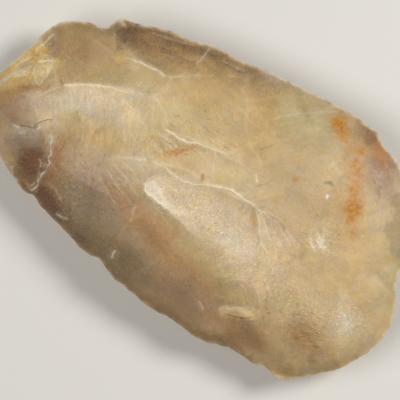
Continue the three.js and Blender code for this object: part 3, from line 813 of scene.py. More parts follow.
def wavered(x, y):
    """The drawing's points as the scars see them: broken flint never follows a clean curve."""
    return (
        x + SLOW_WAVER * np.sin(0.31 * y + 1.3) + QUICK_WAVER * np.sin(0.83 * y + 0.27 * x),
        y + SLOW_WAVER * np.sin(0.29 * x + 0.7) + QUICK_WAVER * np.sin(0.79 * x - 0.21 * y + 2.0),
    )


def dish(x, y, s):
    """Depth of one scar, negative outside its rim."""
    turn = math.radians(s.heading)
    dx, dy = x - s.at[0], y - s.at[1]
    along = (dx * math.cos(turn) + dy * math.sin(turn)) / (s.length / 2)
    spread = s.width / 2 * np.clip(1 + s.taper * along, 0.25, 2)
    across = (dy * math.cos(turn) - dx * math.sin(turn) - s.bend * along * along) / spread
    rim = (np.abs(along) ** s.square + np.abs(across) ** s.square) ** (1 / s.square)
    tilt = 1 + s.lean[0] * np.clip(along, -1, 1) + s.lean[1] * np.clip(across, -1, 1)
    return s.depth * (1 - rim ** s.wall) * np.clip(tilt, 0.2, 2)


def rippled(x, y, s, depth, ripple_height):
    """Adds the ripples that run out from the blow, where the scar is open."""
    reach = np.hypot(x - s.struck[0], y - s.struck[1])
    beat = reach + RIPPLE_BEND * waves(x, y, *RIPPLE_BEND_WAVES)
    crowding = RIPPLE_CROWDING * np.sin(beat / RIPPLE_CROWDING_LENGTH)
    ripple = 0.5 + 0.5 * np.sin(2 * math.pi * beat / RIPPLE_LENGTH + crowding)
    patchy = np.clip(0.5 + 0.6 * waves(x, y, *RIPPLE_PATCH_WAVES), 0, 1)
    open_share = np.clip(depth / (0.3 * s.depth), 0, 1)
    return depth + s.ripple * ripple_height * ripple * patchy * open_share


def beside(x, y, curve, reach):
    """Signed distance from a curve, positive to the left of its way, and the share of its length there.

    Points farther off than reach all get that distance.
    """
    nearest = np.full_like(x, reach)
    side = np.full_like(x, reach)
    share = np.zeros_like(x)
    low, high = curve.min(axis=0) - reach, curve.max(axis=0) + reach
    near = np.flatnonzero((x > low[0]) & (x < high[0]) & (y > low[1]) & (y < high[1]))
    steps = np.diff(curve, axis=0)
    lengths = np.hypot(steps[:, 0], steps[:, 1])
    starts = np.concatenate([[0], np.cumsum(lengths)])
    for k, (step, length) in enumerate(zip(steps, lengths)):
        dx, dy = x[near] - curve[k, 0], y[near] - curve[k, 1]
        along = np.clip((dx * step[0] + dy * step[1]) / length ** 2, 0, 1)
        away = np.hypot(dx - along * step[0], dy - along * step[1])
        closer = away < nearest[near]
        chosen = near[closer]
        left = step[0] * dy - step[1] * dx >= 0
        nearest[chosen] = away[closer]
        side[chosen] = np.where(left, away, -away)[closer]
        share[chosen] = (starts[k] + along[closer] * length) / starts[-1]
    return side, share


class EdgeLines:
    """The lines of the upper face at each point: how they raise it, and the line that shows there.

    A line is felt as far as REACH, claims the points about CLAIM away from it, and shows as far as SEEN.
    """

    REACH = 5.0
    SPAN_POINTS = 8
    STEP_WIDTH = 0.3
    CREST_WIDTH = 0.4
    TONE_STEP_WIDTH = 0.25
    CLAIM = 1.0
    SEEN = 1.6

    def __init__(self, x, y):
        self.raised = np.zeros_like(x)
        self.side = np.full_like(x, self.REACH)
        self.pale = np.zeros_like(x)
        self.tone_and_painted_shade = np.zeros_like(x)
        jx, jy = np.stack([x, y]) + carried(x, y, LINE_WANDER)
        strongest = np.zeros_like(x)
        for e in EDGES:
            side, share = beside(jx, jy, open_curve(e.points, self.SPAN_POINTS), self.REACH)
            away = np.abs(side)
            present = self.rise_and_fall(share, *e.ends)
            lower = 0.5 - 0.5 * np.tanh(side / self.STEP_WIDTH)
            if e.drop < 0:
                lower = 1 - lower
            self.raised -= abs(e.drop) * present * lower * np.exp(-away / e.reach) * (away < self.REACH)
            self.raised += e.crest * present * np.exp(-((away / self.CREST_WIDTH) ** 2))
            # painted shade and light: each side of a line is darkened or lightened, partly the stone's own
            # tone and partly the shade of the relief
            to_left = 0.5 + 0.5 * np.tanh(side / self.TONE_STEP_WIDTH)
            both_sides = e.left * to_left + e.right * (1 - to_left)
            self.tone_and_painted_shade += present * both_sides * np.exp(-away / e.spread) * (away < self.REACH)
            weight = abs(e.pale) * present * np.exp(-((away / self.CLAIM) ** 2))
            wins = weight > strongest
            strongest = np.where(wins, weight, strongest)
            self.side = np.where(wins, side / e.width, self.side)
            self.pale = np.where(wins, e.pale * present * (away < self.SEEN), self.pale)

    @staticmethod
    def rise_and_fall(share, start, end):
        rise = np.clip(share / max(start, 1e-3), 0, 1)
        fall = np.clip((1 - share) / max(end, 1e-3), 0, 1)
        return rise * rise * (3 - 2 * rise) * fall * fall * (3 - 2 * fall)


def retouch(count, seed, deepest):
    """Small chips pressed off along the margin, one ring of scars."""
    draw = np.random.default_rng(seed)
    chips = []
    for k in range(count):
        bearing = 2 * math.pi * (k + draw.uniform(*CHIP_STRAY)) / count
        radius = margin.at(margin.radii, bearing)
        across = draw.uniform(*CHIP_ACROSS)
        inward = draw.uniform(*CHIP_INWARD)
        middle = radius - draw.uniform(*CHIP_SETBACK) * inward
        at = (CROWN[0] + middle * math.cos(bearing), CROWN[1] + middle * math.sin(bearing))
        heading = math.degrees(bearing) + 180 + draw.uniform(-CHIP_TURN, CHIP_TURN)
        depth = deepest * draw.uniform(*CHIP_DEPTH_SHARE)
        tone = draw.uniform(*CHIP_TONE)
        chips.append(scar(at, heading, 2 * inward, across, depth, wall=2.2, ripple=0.5, tone=tone))
    return chips


class Face:
    """One face of the celt at the points of the grid: its height and what the flint shows there."""

    DOME_REACH = 1.02
    LEAST_BEVEL = 0.15
    CALM_WIDTH = 3
    WORN_FROM = 22
    WORN_OVER = 6
    INSIDE_WIDTH = 0.12
    TONE_WIDTH = 0.06
    RIDGE_WIDTH = 0.34
    RIDGE_BEND = 0.22
    RIDGE_STEP = 0.05
    SWEEP_SCALE = 20

    def __init__(self, x, y, bearing, to_margin, scars, chips, rise, sharp, settings, wander=()):
        even = margin.at(margin.even_radii, bearing)
        slant = margin.at(margin.slants, bearing)
        out = np.hypot(x - CROWN[0], y - CROWN[1])
        fullness = DOME_FULLNESS - LEANER_AT_CUTTING_EDGE * np.cos(bearing)
        fullness -= LEANER_AT_STRAIGHTER_SIDE * np.sin(bearing)
        fall = np.minimum(out / (self.DOME_REACH * even), 1) ** fullness
        dome = (rise - LIP_RISE) * (1 - fall) + LIP_RISE
        bevel = BEVEL_SLOPE * np.maximum((even - out) * slant + BEVEL_SETBACK, self.LEAST_BEVEL)
        self.to_margin = np.maximum((to_margin - out) * slant, 0)
        standing = softer_lower(softer_lower(dome, bevel, BEVEL_ROUNDING),
                                NIBBLE_SLOPE * self.to_margin, NIBBLE_ROUNDING)
        standing = np.maximum(standing, 0)

        wx, wy = np.stack(wavered(x, y)) + carried(x, y, wander)
        ripple = settings.ripple_height / MILLIMETRE
        dishes = [np.zeros_like(x)]
        for s in scars:
            dishes.append(rippled(wx, wy, s, dish(wx, wy, s), ripple))
        for s in chips:
            dishes.append(dish(wx, wy, s))
        stack = np.array(dishes)
        order = np.argsort(stack, axis=0)
        first, second = order[-1], order[-2]
        every = np.arange(len(x))
        next_deepest = stack[second, every]
        rounding = SOFT_RIDGE + (SHARP_RIDGE - SOFT_RIDGE) * sharp
        deepest = rounding * np.log(np.exp(stack / rounding).sum(axis=0))
        room = DEEPEST_SHARE * standing + 1e-6
        cut = room * np.tanh(deepest / room)

        calm = np.clip(self.to_margin / self.CALM_WIDTH, 0, 1)
        worn = 0.5 + 0.5 * np.tanh((wx - self.WORN_FROM) / self.WORN_OVER)
        swell = SWELL * (0.5 + 0.5 * waves(x, y, *SWELL_WAVES))
        swell += SMALL_SWELL * (0.5 + 0.5 * waves(x, y, *SMALL_SWELL_WAVES))
        grain = GRAIN * (0.5 + 0.5 * waves(x, y, *GRAIN_WAVES))
        self.height = standing - cut - calm * (swell + grain * (1 - 0.5 * worn))
        self.ridge = sharp * self.crease(wx, wy, [*scars, *chips], first, second) * (next_deepest > -0.5)
        self.flow(wx, wy, [*scars, *chips], first)
        ahead = stack[first, every] - next_deepest
        self.inside = np.clip(ahead / self.INSIDE_WIDTH, 0, 1)
        tones = np.array([0.0, *(s.tone for s in scars), *(s.tone for s in chips)])
        share = 0.5 + 0.5 * np.clip(ahead / self.TONE_WIDTH, 0, 1)
        self.tone = tones[first] * share + tones[second] * (1 - share)

    def crease(self, wx, wy, scars, first, second):
        """How strongly each point stands on the ridge between its two deepest scars."""
        step = self.RIDGE_STEP

        def gap(x, y):
            result = np.zeros_like(x)
            for index, s in enumerate(scars, start=1):
                value = dish(x, y, s)
                result += np.where(first == index, value, 0)
                result -= np.where(second == index, value, 0)
            return result

        here = gap(wx, wy)
        slope_x = (gap(wx + step, wy) - here) / step
        slope_y = (gap(wx, wy + step) - here) / step
        bend = np.hypot(slope_x, slope_y)
        away = np.abs(here) / (bend + 1e-6)
        return np.clip(bend / self.RIDGE_BEND, 0, 1) * np.exp(-((away / self.RIDGE_WIDTH) ** 2))

    def flow(self, wx, wy, scars, first):
        """Where each point lies as seen from the blow that opened it, or from afar outside all scars."""
        unstruck = scar((0, 0), 0, 1, 1, 1, struck=(70, -40))
        self.reach = np.zeros_like(wx)
        self.sweep = np.zeros_like(wx)
        self.blow = first.astype(float)
        for index, s in enumerate([unstruck, *scars]):
            own = first == index
            dx, dy = wx[own] - s.struck[0], wy[own] - s.struck[1]
            self.reach[own] = np.hypot(dx, dy)
            self.sweep[own] = np.arctan2(dy, dx) * self.SWEEP_SCALE


def ring_grid(cells_along, cells_across):
    """Bearing and share of the way to the margin for a square grid whose rings become the celt's rings."""
    rows, columns = np.linspace(-1, 1, cells_across + 1), np.linspace(-1, 1, cells_along + 1)
    b, a = np.meshgrid(rows, columns, indexing="ij")
    share = np.maximum(np.abs(a), np.abs(b))
    wide = np.abs(a) >= np.abs(b)
    with np.errstate(divide="ignore", invalid="ignore"):
        turn = np.where(
            wide,
            math.pi / 4 * b / a + np.where(a < 0, math.pi, 0),
            math.pi / 2 - math.pi / 4 * a / b + np.where(b < 0, math.pi, 0),
        )
    turn = np.where(share == 0, 0, turn)
    length = margin.high[0] - margin.low[0]
    width = margin.high[1] - margin.low[1]
    bearing = np.arctan2(width * np.sin(turn), length * np.cos(turn))
    return bearing.ravel(), share.ravel()


def soft_patch(x, y, at, heading, length, width, crisp=2):
    turn = math.radians(heading)
    dx, dy = x - at[0], y - at[1]
    along = (dx * math.cos(turn) + dy * math.sin(turn)) / (length / 2)
    across = (dy * math.cos(turn) - dx * math.sin(turn)) / (width / 2)
    return np.exp(-0.9 * (along * along + across * across) ** (crisp / 2))


def zones(x, y, table, least, crisp=2):
    """The strongest of a table's soft zones at each point, which is nowhere below the least."""
    field = np.full_like(x, least)
    for at, heading, length, width, strength in table:
        field = np.maximum(field, strength * soft_patch(x, y, at, heading, length, width, crisp))
    return field


class FlintShown:
    """What the flint shows at each point, for its material to read: colour, iron and specks."""

    BOWED_SIDE_AT = 20
    BOWED_SIDE_END = 34
    BOWED_SIDE_FADE = 16
    CLOUD_SEED = 91

    def __init__(self, x, y, finish, upper, to_margin, tone_and_painted_shade):
        self.colour = np.tile(np.array(finish.body[:3]), (len(x), 1))
        if upper:
            sx, sy = np.stack([x, y]) + carried(x, y, SOFT_WANDER)
            fx, fy = np.stack([x, y]) + carried(x, y, CRISP_WANDER)
            for name, at, heading, length, width, strength, crisp in UPPER_PATCHES:
                px, py = (fx, fy) if crisp > SOFT_EDGE else (sx, sy)
                patch = soft_patch(px, py, at, heading, length, width, crisp)
                self.blend(getattr(finish, name), strength * patch)
            self.cloud(sx, sy)
            self.iron = zones(fx, fy, IRON_STAINS, 0.0, 3)
            self.specks = zones(sx, sy, SPECK_ZONES, LEAST_SPECKS)
        else:
            for seed, name in enumerate(UNDER_TONES):
                tone_waves = waves(x, y, UNDER_TONE_LENGTH, UNDER_TONE_SEED + seed)
                strength = np.clip(0.9 * tone_waves - 0.2, 0, 0.8)
                self.blend(getattr(finish, name), strength)
            self.iron = np.clip(0.9 * waves(x, y, *UNDER_IRON_WAVES) - 1.1, 0, 1)
            self.specks = np.clip(0.4 * waves(x, y, *UNDER_SPECK_WAVES), 0.1, 1)
        # painted shade: a dark band along the margin, where the thin flint falls away, and deeper on the
        # bowed side
        margin_shade = np.exp(-to_margin / MARGIN_SHADE_WIDTH) * (0.75 + 0.25 * waves(x, y, *MARGIN_SHADE_WAVES))
        bowed_side = np.clip(-y / self.BOWED_SIDE_AT, 0, 1)
        bowed_side *= np.clip((self.BOWED_SIDE_END - x) / self.BOWED_SIDE_FADE, 0, 1)
        self.blend(finish.bark, (MARGIN_PAINTED_SHADE + BOWED_SIDE_PAINTED_SHADE * bowed_side) * np.clip(margin_shade, 0, 1))
        # each scar's own tone, with the painted shade and light beside the lines
        self.colour *= np.reshape(1 + tone_and_painted_shade, (-1, 1))

    def cloud(self, sx, sy):
        """Small clouds of slightly different stone all over."""
        draw = np.random.default_rng(self.CLOUD_SEED)
        for _ in range(CLOUDS):
            at = (draw.uniform(margin.low[0], margin.high[0]), draw.uniform(margin.low[1], margin.high[1]))
            length, width = draw.uniform(*CLOUD_LENGTH), draw.uniform(*CLOUD_WIDTH)
            patch = soft_patch(sx, sy, at, draw.uniform(0, 180), length, width, 5)
            tint = np.array(CLOUD_TINTS[draw.integers(len(CLOUD_TINTS))])
            self.colour *= 1 + patch[:, None] * draw.uniform(*CLOUD_STRENGTH) * (tint - 1)

    def blend(self, colour, weight):
        self.colour += (np.array(colour[:3]) - self.colour) * weight[:, None]


def length_property(name, description, default, low, high, digits=2):
    """A length setting, in metres."""
    return FloatProperty(
        name=name, description=description, default=default, min=low, max=high, precision=digits,
        unit="LENGTH", subtype="DISTANCE",
    )


class CeltBladeSettings(bpy.types.PropertyGroup):
    """Sizes of the celt and how finely its surface is made."""

    length: length_property(
        "Length", "From the butt to the cutting edge", CELT_HIGH.x - CELT_LOW.x, 0.03, 0.4,
    )
    width: length_property(
        "Width", "Across the two long margins", CELT_HIGH.y - CELT_LOW.y, 0.02, 0.3,
    )
    height: length_property(
        "Height", "From the ground facet to the top of the upper face", CELT_HIGH.z - CELT_LOW.z, 0.005, 0.1,
    )
    ripple_height: length_property(
        "Ripple Height", "Height of the ripples in the flake scars", 0.00006, 0.0, 0.001, 6,
    )
    chip_depth: length_property(
        "Chip Depth", "Depth of the deepest small chips along the margin", 0.0003, 0.0, 0.003, 5,
    )
    chips: IntProperty(
        name="Chips", description="Number of small chips along the margin of each face",
        default=84, min=0, max=400,
    )
    cells_along: IntProperty(
        name="Cells Along", description="Divisions of the upper face along the celt",
        default=360, min=40, max=600,
    )
    cells_across: IntProperty(
        name="Cells Across", description="Divisions of the upper face across the celt",
        default=216, min=24, max=400,
    )


def colour_property(name, description, red, green, blue):
    """A colour setting, given as the screen shows it from 0 to 255 and kept as light."""
    light = [((value / 255 + 0.055) / 1.055) ** 2.4 for value in (red, green, blue)]
    return FloatVectorProperty(
        name=name, description=description, subtype="COLOR", size=3, min=0, max=1, default=light,
    )


class FlintFinishSettings(bpy.types.PropertyGroup):
    """Colours and lustre of the flint."""

    body: colour_property("Body", "Main colour of the stone", 200, 172, 126)
    honey: colour_property("Honey", "Warm translucent stone", 197, 163, 104)
    dun: colour_property("Dun", "Duller stone in the middle of the ground part", 176, 150, 104)
    tan: colour_property("Tan", "Browner stone near the straighter side", 167, 134, 86)
    khaki: colour_property("Khaki", "Greenish brown stone", 178, 149, 92)
    cream: colour_property("Cream", "Pale stone under the worn crests", 208, 187, 148)
    pink: colour_property("Pink", "Pale stone with a pinkish cast", 202, 172, 141)
    # Chalk is frosted stone, and is also laid as a painted sheen and glints on facets that face the light.
    chalk_and_sheen: colour_property("Chalk", "Frosted stone that has lost its lustre", 226, 212, 190)
    painted_glint: colour_property("Glint", "Fresh crystal faces in the frosted stone", 250, 244, 228)
    straw: colour_property("Straw", "Pale stone with a greenish cast", 194, 178, 130)
    dove: colour_property("Dove", "Violet-grey stone", 143, 119, 98)
    rose: colour_property("Rose", "Pinkish brown stone", 155, 118, 90)
    moss: colour_property("Moss", "Greenish grey stone along the bowed side", 119, 101, 67)
    bark: colour_property("Bark", "Dark brown stone", 104, 72, 42)
    ochre: colour_property("Ochre", "Yellow spots of iron in the stone", 206, 166, 92)
    amber: colour_property("Amber", "Orange-brown stone", 170, 119, 64)
    rust: colour_property("Rust", "Reddened stone", 146, 86, 46)
    # Glint paints tiny flecks of light glinting on the frosted stone: a painted glint, not a colour of the
    # stone.
    yellow: colour_property("Yellow", "Fresh yellow stone of the butt", 222, 187, 117)
    # Ridge is the pale of worn crests, partly a painted highlight where crests catch the light.
    ridge: colour_property("Ridge", "Pale line along the crests between scars", 244, 230, 196)
    rim: colour_property("Rim", "Thin margin that the light comes through", 222, 206, 172)
    iron: colour_property("Iron", "Iron stain on the surface", 192, 138, 48)
    crust: colour_property("Crust", "Thicker iron in the middle of a stain", 172, 102, 38)
    speck: colour_property("Speck", "Small dark inclusions", 122, 84, 46)
    # Crack is dirt in cracks, and also serves as the painted shadow of the dark lines below the chip.
    crack_dirt_and_shadow: colour_property("Crack", "Dirt in cracks", 74, 54, 38)
    roughness: FloatProperty(
        name="Roughness", description="Roughness of the flaked flint",
        default=0.48, min=0.0, max=1.0, subtype="FACTOR",
    )
    translucency: FloatProperty(
        name="Translucency", description="How much light goes into the flint",
        default=0.22, min=0.0, max=1.0, subtype="FACTOR",
    )
    translucent_depth: length_property(
        "Translucent Depth", "How deep that light goes", 0.0016, 0.0, 0.02, 5,
    )


class StudioSettings(bpy.types.PropertyGroup):
    """Floor, lights and camera."""

    floor_colour: colour_property("Floor", "Colour of the plain floor", 226, 222, 214)
    floor_size: length_property("Floor Size", "Side of the floor", 3.0, 0.5, 20.0)
    view_width: length_property(
        "View Width", "Width that the camera takes in at the celt's margin", 0.09013, 0.01, 2.0,
    )
    view_heading: FloatProperty(
        name="View Heading", description="How far the celt is turned in the picture",
        default=math.radians(34), min=-math.pi, max=math.pi, unit="ROTATION", subtype="ANGLE",
    )
    view_centre: FloatVectorProperty(
        name="View Centre", description="Point of the celt in the middle of the picture",
        default=(0.00094, -0.00434), size=2, unit="LENGTH", subtype="TRANSLATION",
    )
    focal_length: FloatProperty(
        name="Focal Length", description="Focal length of the camera, in millimetres",
        default=250, min=20, max=600,
    )
    key_light: FloatProperty(
        name="Key Light", description="Power of the soft light from the right of the picture",
        default=2.8, min=0.0, max=200.0, unit="POWER",
    )
    fill_light: FloatProperty(
        name="Fill Light", description="Power of the soft light from the left of the picture",
        default=2.3, min=0.0, max=200.0, unit="POWER",
    )
    surround: FloatProperty(
        name="Surround", description="Strength of the even light from all round",
        default=0.12, min=0.0, max=5.0,
    )


# How fine the noises of the flint are: about how many of their waves lie in a metre.
FINENESS = {
    "clouds": 170, "veins": 240, "warm clouds": 330, "waver": 420, "wear": 420, "mottle": 560, "stains": 700,
    "broken lines": 900, "crust": 1100, "specks": 1500, "frost": 1700, "painted_glints": 2600, "grain": 2700,
}
WARM_TINT = (1.03, 1.0, 0.9)
COOL_TINT = (0.98, 1.0, 1.05)
PALE_DASH = (1.24, 1.25, 1.30)
DARK_DASH = (0.78, 0.73, 0.64)
FLINT_IOR = 1.54
FLINT_SPECULAR = 0.35
FLINT_SCATTER = (1.0, 0.62, 0.34)

# The finest relief of the flint, in metres.
STREAK_RELIEF = 0.00022
MOTTLE_RELIEF = 0.00010
GRAIN_RELIEF = 0.00002
FINE_BUMP = 0.6


class NodeBoard:
    """Places and links the nodes of one material."""

    def __init__(self, material):
        material.use_nodes = True
        self.tree = material.node_tree
        self.tree.nodes.clear()

    def add(self, kind, inputs=None, **settings):
        node = self.tree.nodes.new(kind)
        for name, value in settings.items():
            setattr(node, name, value)
        for key, value in (inputs or {}).items():
            if isinstance(value, bpy.types.NodeSocket):
                self.tree.links.new(value, node.inputs[key])
            else:
                node.inputs[key].default_value = value
        return node

    def attribute(self, name, output="Fac"):
        return self.add("ShaderNodeAttribute", attribute_name=name).outputs[output]

    def noise(self, vector, scale, detail=2.0, roughness=0.5):
        inputs = {"Vector": vector, "Scale": scale, "Detail": detail, "Roughness": roughness}
        return self.add("ShaderNodeTexNoise", inputs).outputs["Fac"]

    def maths(self, operation, a, b=0.0, clamp=False):
        return self.add("ShaderNodeMath", {0: a, 1: b}, operation=operation, use_clamp=clamp).outputs[0]

    def times(self, a, b, clamp=False):
        return self.maths("MULTIPLY", a, b, clamp)

    def ramp(self, value, low, high, to_low=0.0, to_high=1.0):
        inputs = {"Value": value, "From Min": low, "From Max": high, "To Min": to_low, "To Max": to_high}
        return self.add("ShaderNodeMapRange", inputs, interpolation_type="SMOOTHSTEP").outputs["Result"]

    def stretch(self, vector, x, y, z):
        return self.add("ShaderNodeVectorMath", {0: vector, 1: (x, y, z)}, operation="MULTIPLY").outputs[0]

    def mix(self, factor, a, b, blend_type="MIX"):
        node = self.add("ShaderNodeMix", data_type="RGBA", blend_type=blend_type)
        for socket, value in ((node.inputs[0], factor), (node.inputs[6], a), (node.inputs[7], b)):
            if isinstance(value, bpy.types.NodeSocket):
                self.tree.links.new(value, socket)
            else:
                socket.default_value = value
        return node.outputs[2]

    def over(self, colour, share, laid):
        """The colour with another laid over it by the share."""
        return self.mix(share, colour, opaque(laid))

    def tinted(self, colour, tint):
        return self.mix(1.0, colour, tint, "MULTIPLY")

    def crests(self, noise, width):
        """Thin lines where a noise passes its middle."""
        return self.ramp(self.maths("ABSOLUTE", self.maths("SUBTRACT", noise, 0.5)), 0.0, width, 1.0, 0.0)

    def specks(self, place, density):
        """Irregular spots that cover more of the stone where the density is higher."""
        level = self.maths("SUBTRACT", 0.76, self.times(density, 0.16))
        spots = self.noise(place, FINENESS["specks"], 3, 0.6)
        return self.times(self.maths("SUBTRACT", spots, level), 12.0, True)

    def bump(self, height, distance, strength=1.0, normal=None):
        inputs = {"Height": height, "Distance": distance, "Strength": strength}
        if normal is not None:
            inputs["Normal"] = normal
        return self.add("ShaderNodeBump", inputs).outputs["Normal"]


def opaque(colour):
    return (*colour[:3], 1.0)


def flint_material(finish):
    """Waxy, cloudy flint: colour in patches, ripple lines, pale crests, iron stains and dark specks."""
    material = bpy.data.materials.new("honey_flint")
    board = NodeBoard(material)
    place = board.add("ShaderNodeTexCoord").outputs["Object"]
    frost = board.attribute("frost")

    # where each point lies as seen from the blow that opened it, wavered a little
    waver = board.times(board.noise(place, FINENESS["waver"], 3, 0.6), 2.0)
    waver = board.add("ShaderNodeCombineXYZ", {0: waver, 1: board.times(waver, 1.6)}).outputs[0]
    flow = board.attribute("flow", "Vector")
    flow = board.add("ShaderNodeVectorMath", {0: flow, 1: waver}, operation="ADD").outputs[0]

    # the stone itself, shaded by clouds, mottle, grain and streaks
    clouds = board.noise(place, FINENESS["clouds"], 3, 0.6)
    warm_clouds = board.noise(board.stretch(place, 1.0, 1.0, 2.1), FINENESS["warm clouds"], 3, 0.6)
    mottle = board.noise(place, FINENESS["mottle"], 3, 0.55)
    grain = board.noise(place, FINENESS["grain"], 2, 0.5)
    ripple_lines = board.noise(board.stretch(flow, 1.9, 0.5, 7.3), 1.0, 5, 0.72)
    patchy = board.times(board.attribute("streaked"), board.ramp(clouds, 0.35, 0.6, 0.35, 1.0))
    streaks = board.times(board.maths("SUBTRACT", ripple_lines, 0.5), patchy)
    shade = board.ramp(streaks, -0.22, 0.22, 0.82, 1.18)
    shade = board.times(shade, board.ramp(clouds, 0.42, 0.58, 0.94, 1.06))
    shade = board.times(shade, board.ramp(mottle, 0.25, 0.75, 0.95, 1.05))
    shade = board.times(shade, board.ramp(grain, 0.2, 0.8, 0.985, 1.015))
    tint = board.mix(board.ramp(warm_clouds, 0.35, 0.65), opaque(COOL_TINT), opaque(WARM_TINT))
    colour = board.tinted(board.attribute("flint_colour", "Color"), tint)
    shade = board.add("ShaderNodeCombineColor", {0: shade, 1: shade, 2: shade}).outputs[0]
    colour = board.tinted(colour, shade)

    # frosted stone, partly a painted sheen, pale threads, amber veins, and painted glints of light on the
    # frosted stone
    # painted frost and sheen: pale chalk over the frosted zones, partly a painted sheen
    painted_frost_and_sheen = board.times(frost, board.ramp(board.noise(place, FINENESS["frost"], 5, 0.8), 0.52, 0.62))
    colour = board.over(colour, board.times(painted_frost_and_sheen, 0.8, True), finish.chalk_and_sheen)
    threads = board.crests(board.noise(board.stretch(flow, 0.9, 0.5, 7.3), 1.0, 5, 0.75), 0.02)
    threads = board.times(threads, board.maths("ADD", board.times(frost, 0.5), 0.16), True)
    colour = board.over(colour, threads, finish.chalk_and_sheen)
    veins = board.crests(board.noise(place, FINENESS["veins"], 4, 0.7), 0.012)
    colour = board.over(colour, board.times(veins, 0.12), finish.amber)
    # painted glints: white flecks that stand in for light glinting off tiny facets
    painted_glints = board.ramp(board.noise(place, FINENESS["painted_glints"], 3, 0.6), 0.6, 0.66)
    colour = board.over(colour, board.times(painted_glints, board.times(frost, 0.9), True), finish.painted_glint)

    # short pale and dark dashes across the flow
    dashes = board.noise(board.stretch(flow, 1.9, 0.8, 11.7), 1.0, 3, 0.65)
    scuffed = board.times(board.attribute("scuffed"), 0.08)
    pale_dash = board.maths("SUBTRACT", dashes, board.maths("SUBTRACT", 0.64, scuffed))
    dark_dash = board.maths("SUBTRACT", board.maths("ADD", 0.36, scuffed), dashes)
    for dash, dash_tint in ((pale_dash, PALE_DASH), (dark_dash, DARK_DASH)):
        colour = board.mix(board.times(dash, 14.0, True), colour, board.tinted(colour, opaque(dash_tint)))

    # iron stains with a darker crust, and specks
    iron = board.attribute("iron")
    stain = board.ramp(board.noise(place, FINENESS["stains"], 4, 0.7), 0.3, 0.55, 0.55, 1.2)
    colour = board.over(colour, board.times(iron, stain, True), finish.iron)
    crust = board.times(iron, board.ramp(board.noise(place, FINENESS["crust"], 3, 0.65), 0.44, 0.6), True)
    colour = board.over(colour, board.times(crust, 0.75), finish.crust)
    speck = board.specks(place, board.attribute("specks"))
    colour = board.over(colour, board.times(speck, 0.8), finish.speck)

    # thin margin with the light let through it as a painted light; crests between scars and the lines of the
    # upper face, pale as worn stone and partly a painted highlight, with a faint painted glow round the
    # lines
    rim = board.times(board.attribute("rim"), board.ramp(mottle, 0.3, 0.6, 0.1, 0.8))
    colour = board.over(colour, rim, finish.rim)
    wear = board.ramp(board.noise(place, FINENESS["wear"], 4, 0.7), 0.3, 0.6, 0.35, 1.0)
    colour = board.over(colour, board.times(board.attribute("ridge"), wear, True), finish.ridge)
    broken = board.ramp(board.noise(place, FINENESS["broken lines"], 3, 0.7), 0.3, 0.7, 0.8, 2.4)
    off_line = board.times(board.maths("ABSOLUTE", board.attribute("line_side")), broken)
    line = board.ramp(off_line, 0.0, 1.2, 0.95, 0.0)
    painted_glow = board.ramp(off_line, 0.0, 6.0, 0.26, 0.0)
    pale = board.attribute("line_pale")
    worn_line = board.maths("ADD", board.times(line, wear), painted_glow)
    worn_and_lit_line = board.times(worn_line, board.maths("MAXIMUM", pale, 0.0), True)
    colour = board.over(colour, worn_and_lit_line, finish.ridge)
    # dark lines: dirt in the crack of the butt, and a painted shadow in the dark lines below the chip
    dark_line = board.maths("MAXIMUM", board.times(pale, -1.0), 0.0)
    colour = board.over(colour, board.times(line, dark_line, True), finish.crack_dirt_and_shadow)

    # lustre and the finest relief
    roughness = board.ramp(mottle, 0.3, 0.7, finish.roughness - 0.08, finish.roughness + 0.10)
    roughness = board.maths("ADD", roughness, board.times(frost, 0.1), True)
    normal = board.bump(streaks, STREAK_RELIEF)
    normal = board.bump(mottle, MOTTLE_RELIEF, FINE_BUMP, normal)
    normal = board.bump(grain, GRAIN_RELIEF, FINE_BUMP, normal)
    surface = board.add("ShaderNodeBsdfPrincipled", {
        "Base Color": colour,
        "Roughness": roughness,
        "Normal": normal,
        "IOR": FLINT_IOR,
        "Specular IOR Level": FLINT_SPECULAR,
        "Subsurface Weight": finish.translucency,
        "Subsurface Radius": FLINT_SCATTER,
        "Subsurface Scale": finish.translucent_depth,
    })
    board.add("ShaderNodeOutputMaterial", {"Surface": surface.outputs[0]})
    return material


def grid_triangles(vertex_at, cells_along, cells_across, step, facing_up):
    """Triangles of a square grid whose cells are step points wide.

    vertex_at holds the vertex of each grid point. Each cell is a fan from its corner nearest the crown,
    and takes in every grid point on the border.
    """
    triangles = []
    for row in range(0, cells_across, step):
        for column in range(0, cells_along, step):
            top, right = row + step, column + step
            loop = [(row, column)]
            if row == 0 and step > 1:
                loop.append((row, column + 1))
            loop.append((row, right))
            if right == cells_along and step > 1:
                loop.append((row + 1, right))
            loop.append((top, right))
            if top == cells_across and step > 1:
                loop.append((top, column + 1))
            loop.append((top, column))
            if column == 0 and step > 1:
                loop.append((row + 1, column))
            inner = (top if top <= cells_across / 2 else row, right if right <= cells_along / 2 else column)
            k = loop.index(inner)
            fan = [vertex_at[point] for point in loop[k:] + loop[:k]]
            for b, c in zip(fan[1:], fan[2:]):
                triangles.append((fan[0], b, c) if facing_up else (fan[0], c, b))
    return triangles


def write_attribute(mesh, name, kind, field, values):
    layer = mesh.attributes.new(name, kind, "POINT")
    layer.data.foreach_set(field, np.asarray(values, np.float32).ravel())


